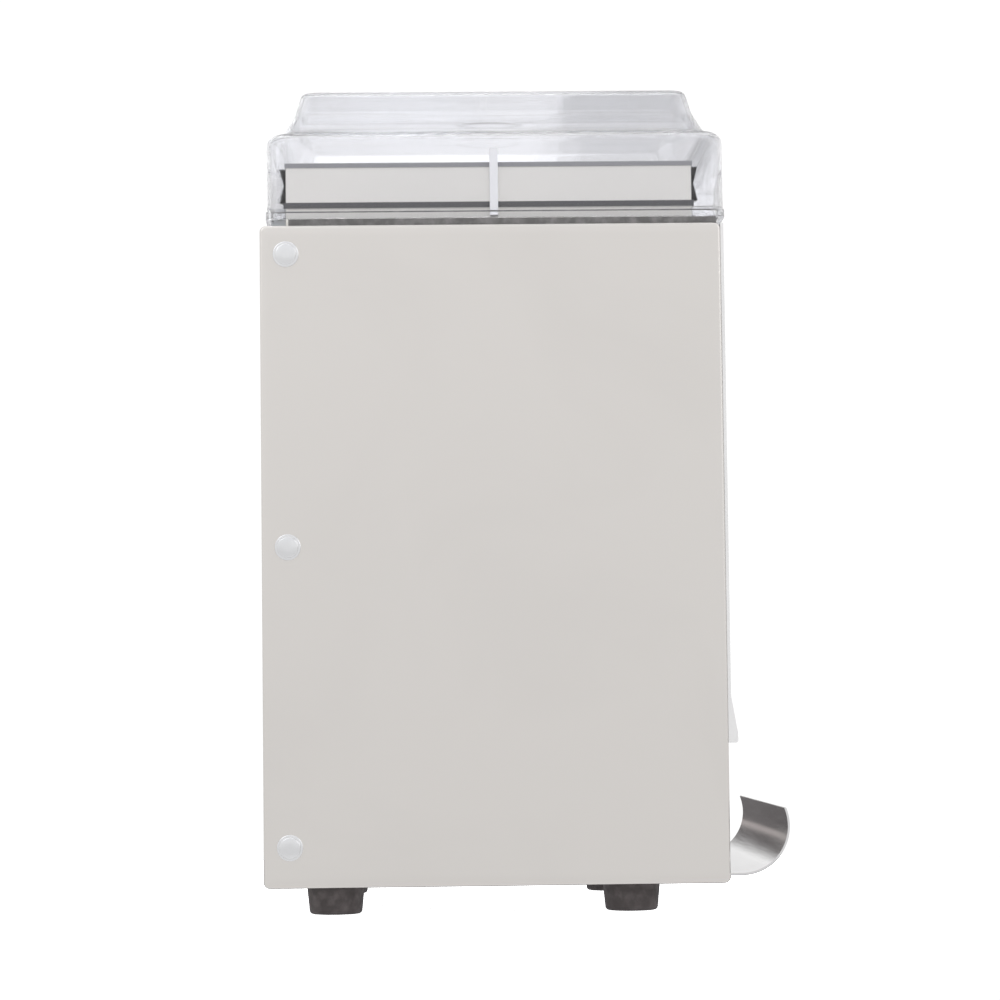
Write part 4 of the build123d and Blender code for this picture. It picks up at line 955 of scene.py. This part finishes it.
def digit_segment(bm, segment, x, y, z, width, height):
    """One pointed bar of a seven-segment digit."""
    thick, gap = 1.5 * MM, 0.35 * MM
    front, back = y - 0.12 * MM, y - 0.02 * MM
    middle = z + height / 2
    spans = {
        "a": ((x, z + height), (x + width, z + height)), "g": ((x, middle), (x + width, middle)),
        "d": ((x, z), (x + width, z)), "f": ((x, middle), (x, z + height)),
        "b": ((x + width, middle), (x + width, z + height)), "e": ((x, z), (x, middle)),
        "c": ((x + width, z), (x + width, middle)),
    }
    start, end = (Vector(p) for p in spans[segment])
    along = (end - start).normalized()
    across = Vector((-along.y, along.x)) * thick / 2
    start, end = start + along * gap, end - along * gap
    tip = along * thick / 2
    outline = [start, start + tip + across, end - tip + across, end, end - tip - across, start + tip - across]
    prism(bm, [tuple(p) for p in outline], front, back, "Y")


def make_key_marks(materials):
    """A plain raised symbol on each key: dot, bar, down and up arrows."""
    sunk, raised = 0.1 * MM, 0.05 * MM
    dot_inner, dot_outer = 2.2 * MM, 2.9 * MM
    bar_half, bar_thin = 2.8 * MM, 0.5 * MM
    arrow_half, arrow_base, arrow_tip = 2.7 * MM, 1.6 * MM, 2.4 * MM
    for node, shape in KEYS.items():
        low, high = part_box(node)
        x, z, y = (low.x + high.x) / 2, (low.z + high.z) / 2, low.y
        bm = bmesh.new()
        if shape == "dot":
            lathe(bm, rectangle(dot_inner, -sunk, dot_outer, raised), (x, y, z), "Y", 32)
        elif shape == "bar":
            outline = rectangle(x - bar_half, z - bar_thin, x + bar_half, z + bar_thin)
            prism(bm, outline, y - sunk, y + raised, "Y")
        else:
            sign = 1 if shape == "up" else -1
            base = z - sign * arrow_base
            outline = [(x - arrow_half, base), (x + arrow_half, base), (x, z + sign * arrow_tip)]
            prism(bm, outline, y - sunk, y + raised, "Y")
        add_piece(f"{node}_mark", mesh_from("mark", bm), node, materials["black"])


# ---------------------------------------------------------------- head springs
def make_head_springs(materials):
    """Coil springs with closed end turns, which reach from the fixed bushes down to the sealing head."""
    low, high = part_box("head_springs")
    wire, turns, steps, sides = 0.9 * MM, 8, 24, 10
    outer, middle_y = (high.y - low.y) / 2, (low.y + high.y) / 2
    closed_rise = 2.1 * wire
    open_rise = (high.z - low.z - 2 * wire - 2 * closed_rise) / (turns - 2)
    up = Vector((0, 0, 1))
    bm = bmesh.new()
    for side in (-1, 1):
        axis = Vector((side * (high.x - outer), middle_y, low.z + wire))
        loops = []
        for step in range(turns * steps + 1):
            turn = step / steps
            opened = min(max(turn - 1, 0), turns - 2)
            rise = open_rise * opened + closed_rise * (turn - opened)
            outward = Vector((math.cos(2 * math.pi * turn), math.sin(2 * math.pi * turn), 0))
            centre = axis + outward * (outer - wire) + up * rise
            loops.append([centre + wire * (outward * c + up * s) for c, s in circle_directions(sides)])
        loft(bm, loops, True, True)
    piece = add_piece("head_return_springs", mesh_from("head_return_springs", bm), None,
                      materials["gear"], ("head_springs",))
    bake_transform(piece)


# ---------------------------------------------------------------- floor
def make_floor():
    """A pale floor that catches a faint shadow and runs into the white surround."""
    white = Material("floor_white", (0.86, 0.86, 0.86), 0.7)
    white.vary_colour(white.noise(3, 2.0), 0.4, 0.7, (0.84, 0.84, 0.84))
    white.see_through(0.6)
    radius, thickness = 0.75, 0.01
    bm = bmesh.new()
    lathe(bm, [(0, -thickness), (radius, -thickness), (radius, 0), (0, 0)], (0, 0, 0), "Z", 96)
    mesh = mesh_from("floor", bm)
    floor = bpy.data.objects.new("floor", mesh)
    bpy.context.scene.collection.objects.link(floor)
    mesh.materials.append(white.material)
    floor.is_shadow_catcher = True
    floor.visible_glossy = False


# ---------------------------------------------------------------- finishes of the CAD nodes
FINISHES = {
    "stainless_x": ["rear_panel", "bay_back_plate", "carriage_plate"],
    "collar": ["film_deck"],
    "trim": ["collar_trim"],
    "polished": ["drip_grid", "hinge_lugs", "drip_tray"],
    "zinc": ["base_pan", "right_frame_plate", "left_frame_plate", "hinge_brackets"],
    "gloss": ["control_panel"],
    "window": ["display_window"],
    "board": ["circuit_boards"],
    "case": ["power_supply"],
    "fittings": ["power_fittings"],
    "black": ["power_rocker", "fan_rotor", "mark_sensor", "carriage_front"],
    "fan": ["cooling_fan"],
    "bronze": ["shaft_bearings"],
    "nylon": ["slide_rails"],
    "motor": ["gear_motors"],
    "rubber": ["corner_pads"],
    "gasket": ["lid_gasket"],
    "silicone": ["ring_seal"],
    "alloy": ["cup_ring", "head_plate", "head_bridge", "rear_guide_roller", "front_guide_roller"],
    "gear": ["carriage_rack", "carriage_pinion", "head_rack", "head_pinion", "head_springs"],
    "heater": ["heater_block"],
    "insulation": ["heat_insulator"],
    "ptfe": ["sealing_pad"],
    "knife": ["film_cutter", "guide_rods"],
    "film": ["film_roll", "waste_film"],
    "spool": ["roll_spindle", "take_up_spool", "motor_pulley"],
    "web": ["film_web"],
    "belt": ["drive_belt"],
    "key": list(KEYS),
    "lid": ["clear_lid"],
    "stainless": ["left_side_panel", "right_side_panel"],
    "fascia": ["front_fascia"],
    "screw": ["casing_screws"],
    "foot": ["rubber_feet"],
}


def finish_cad_nodes(materials):
    for key, names in FINISHES.items():
        for name in names:
            for material_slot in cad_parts[name].material_slots:
                material_slot.material = materials[key]


make_camera()
make_world()
make_lights()
make_floor()
finishes = make_materials()
finish_cad_nodes(finishes)
for make in (make_lid, make_side_panels, make_casing_screws, make_feet, make_tray, make_fascia, make_display,
             make_key_marks, make_head_springs):
    make(finishes)
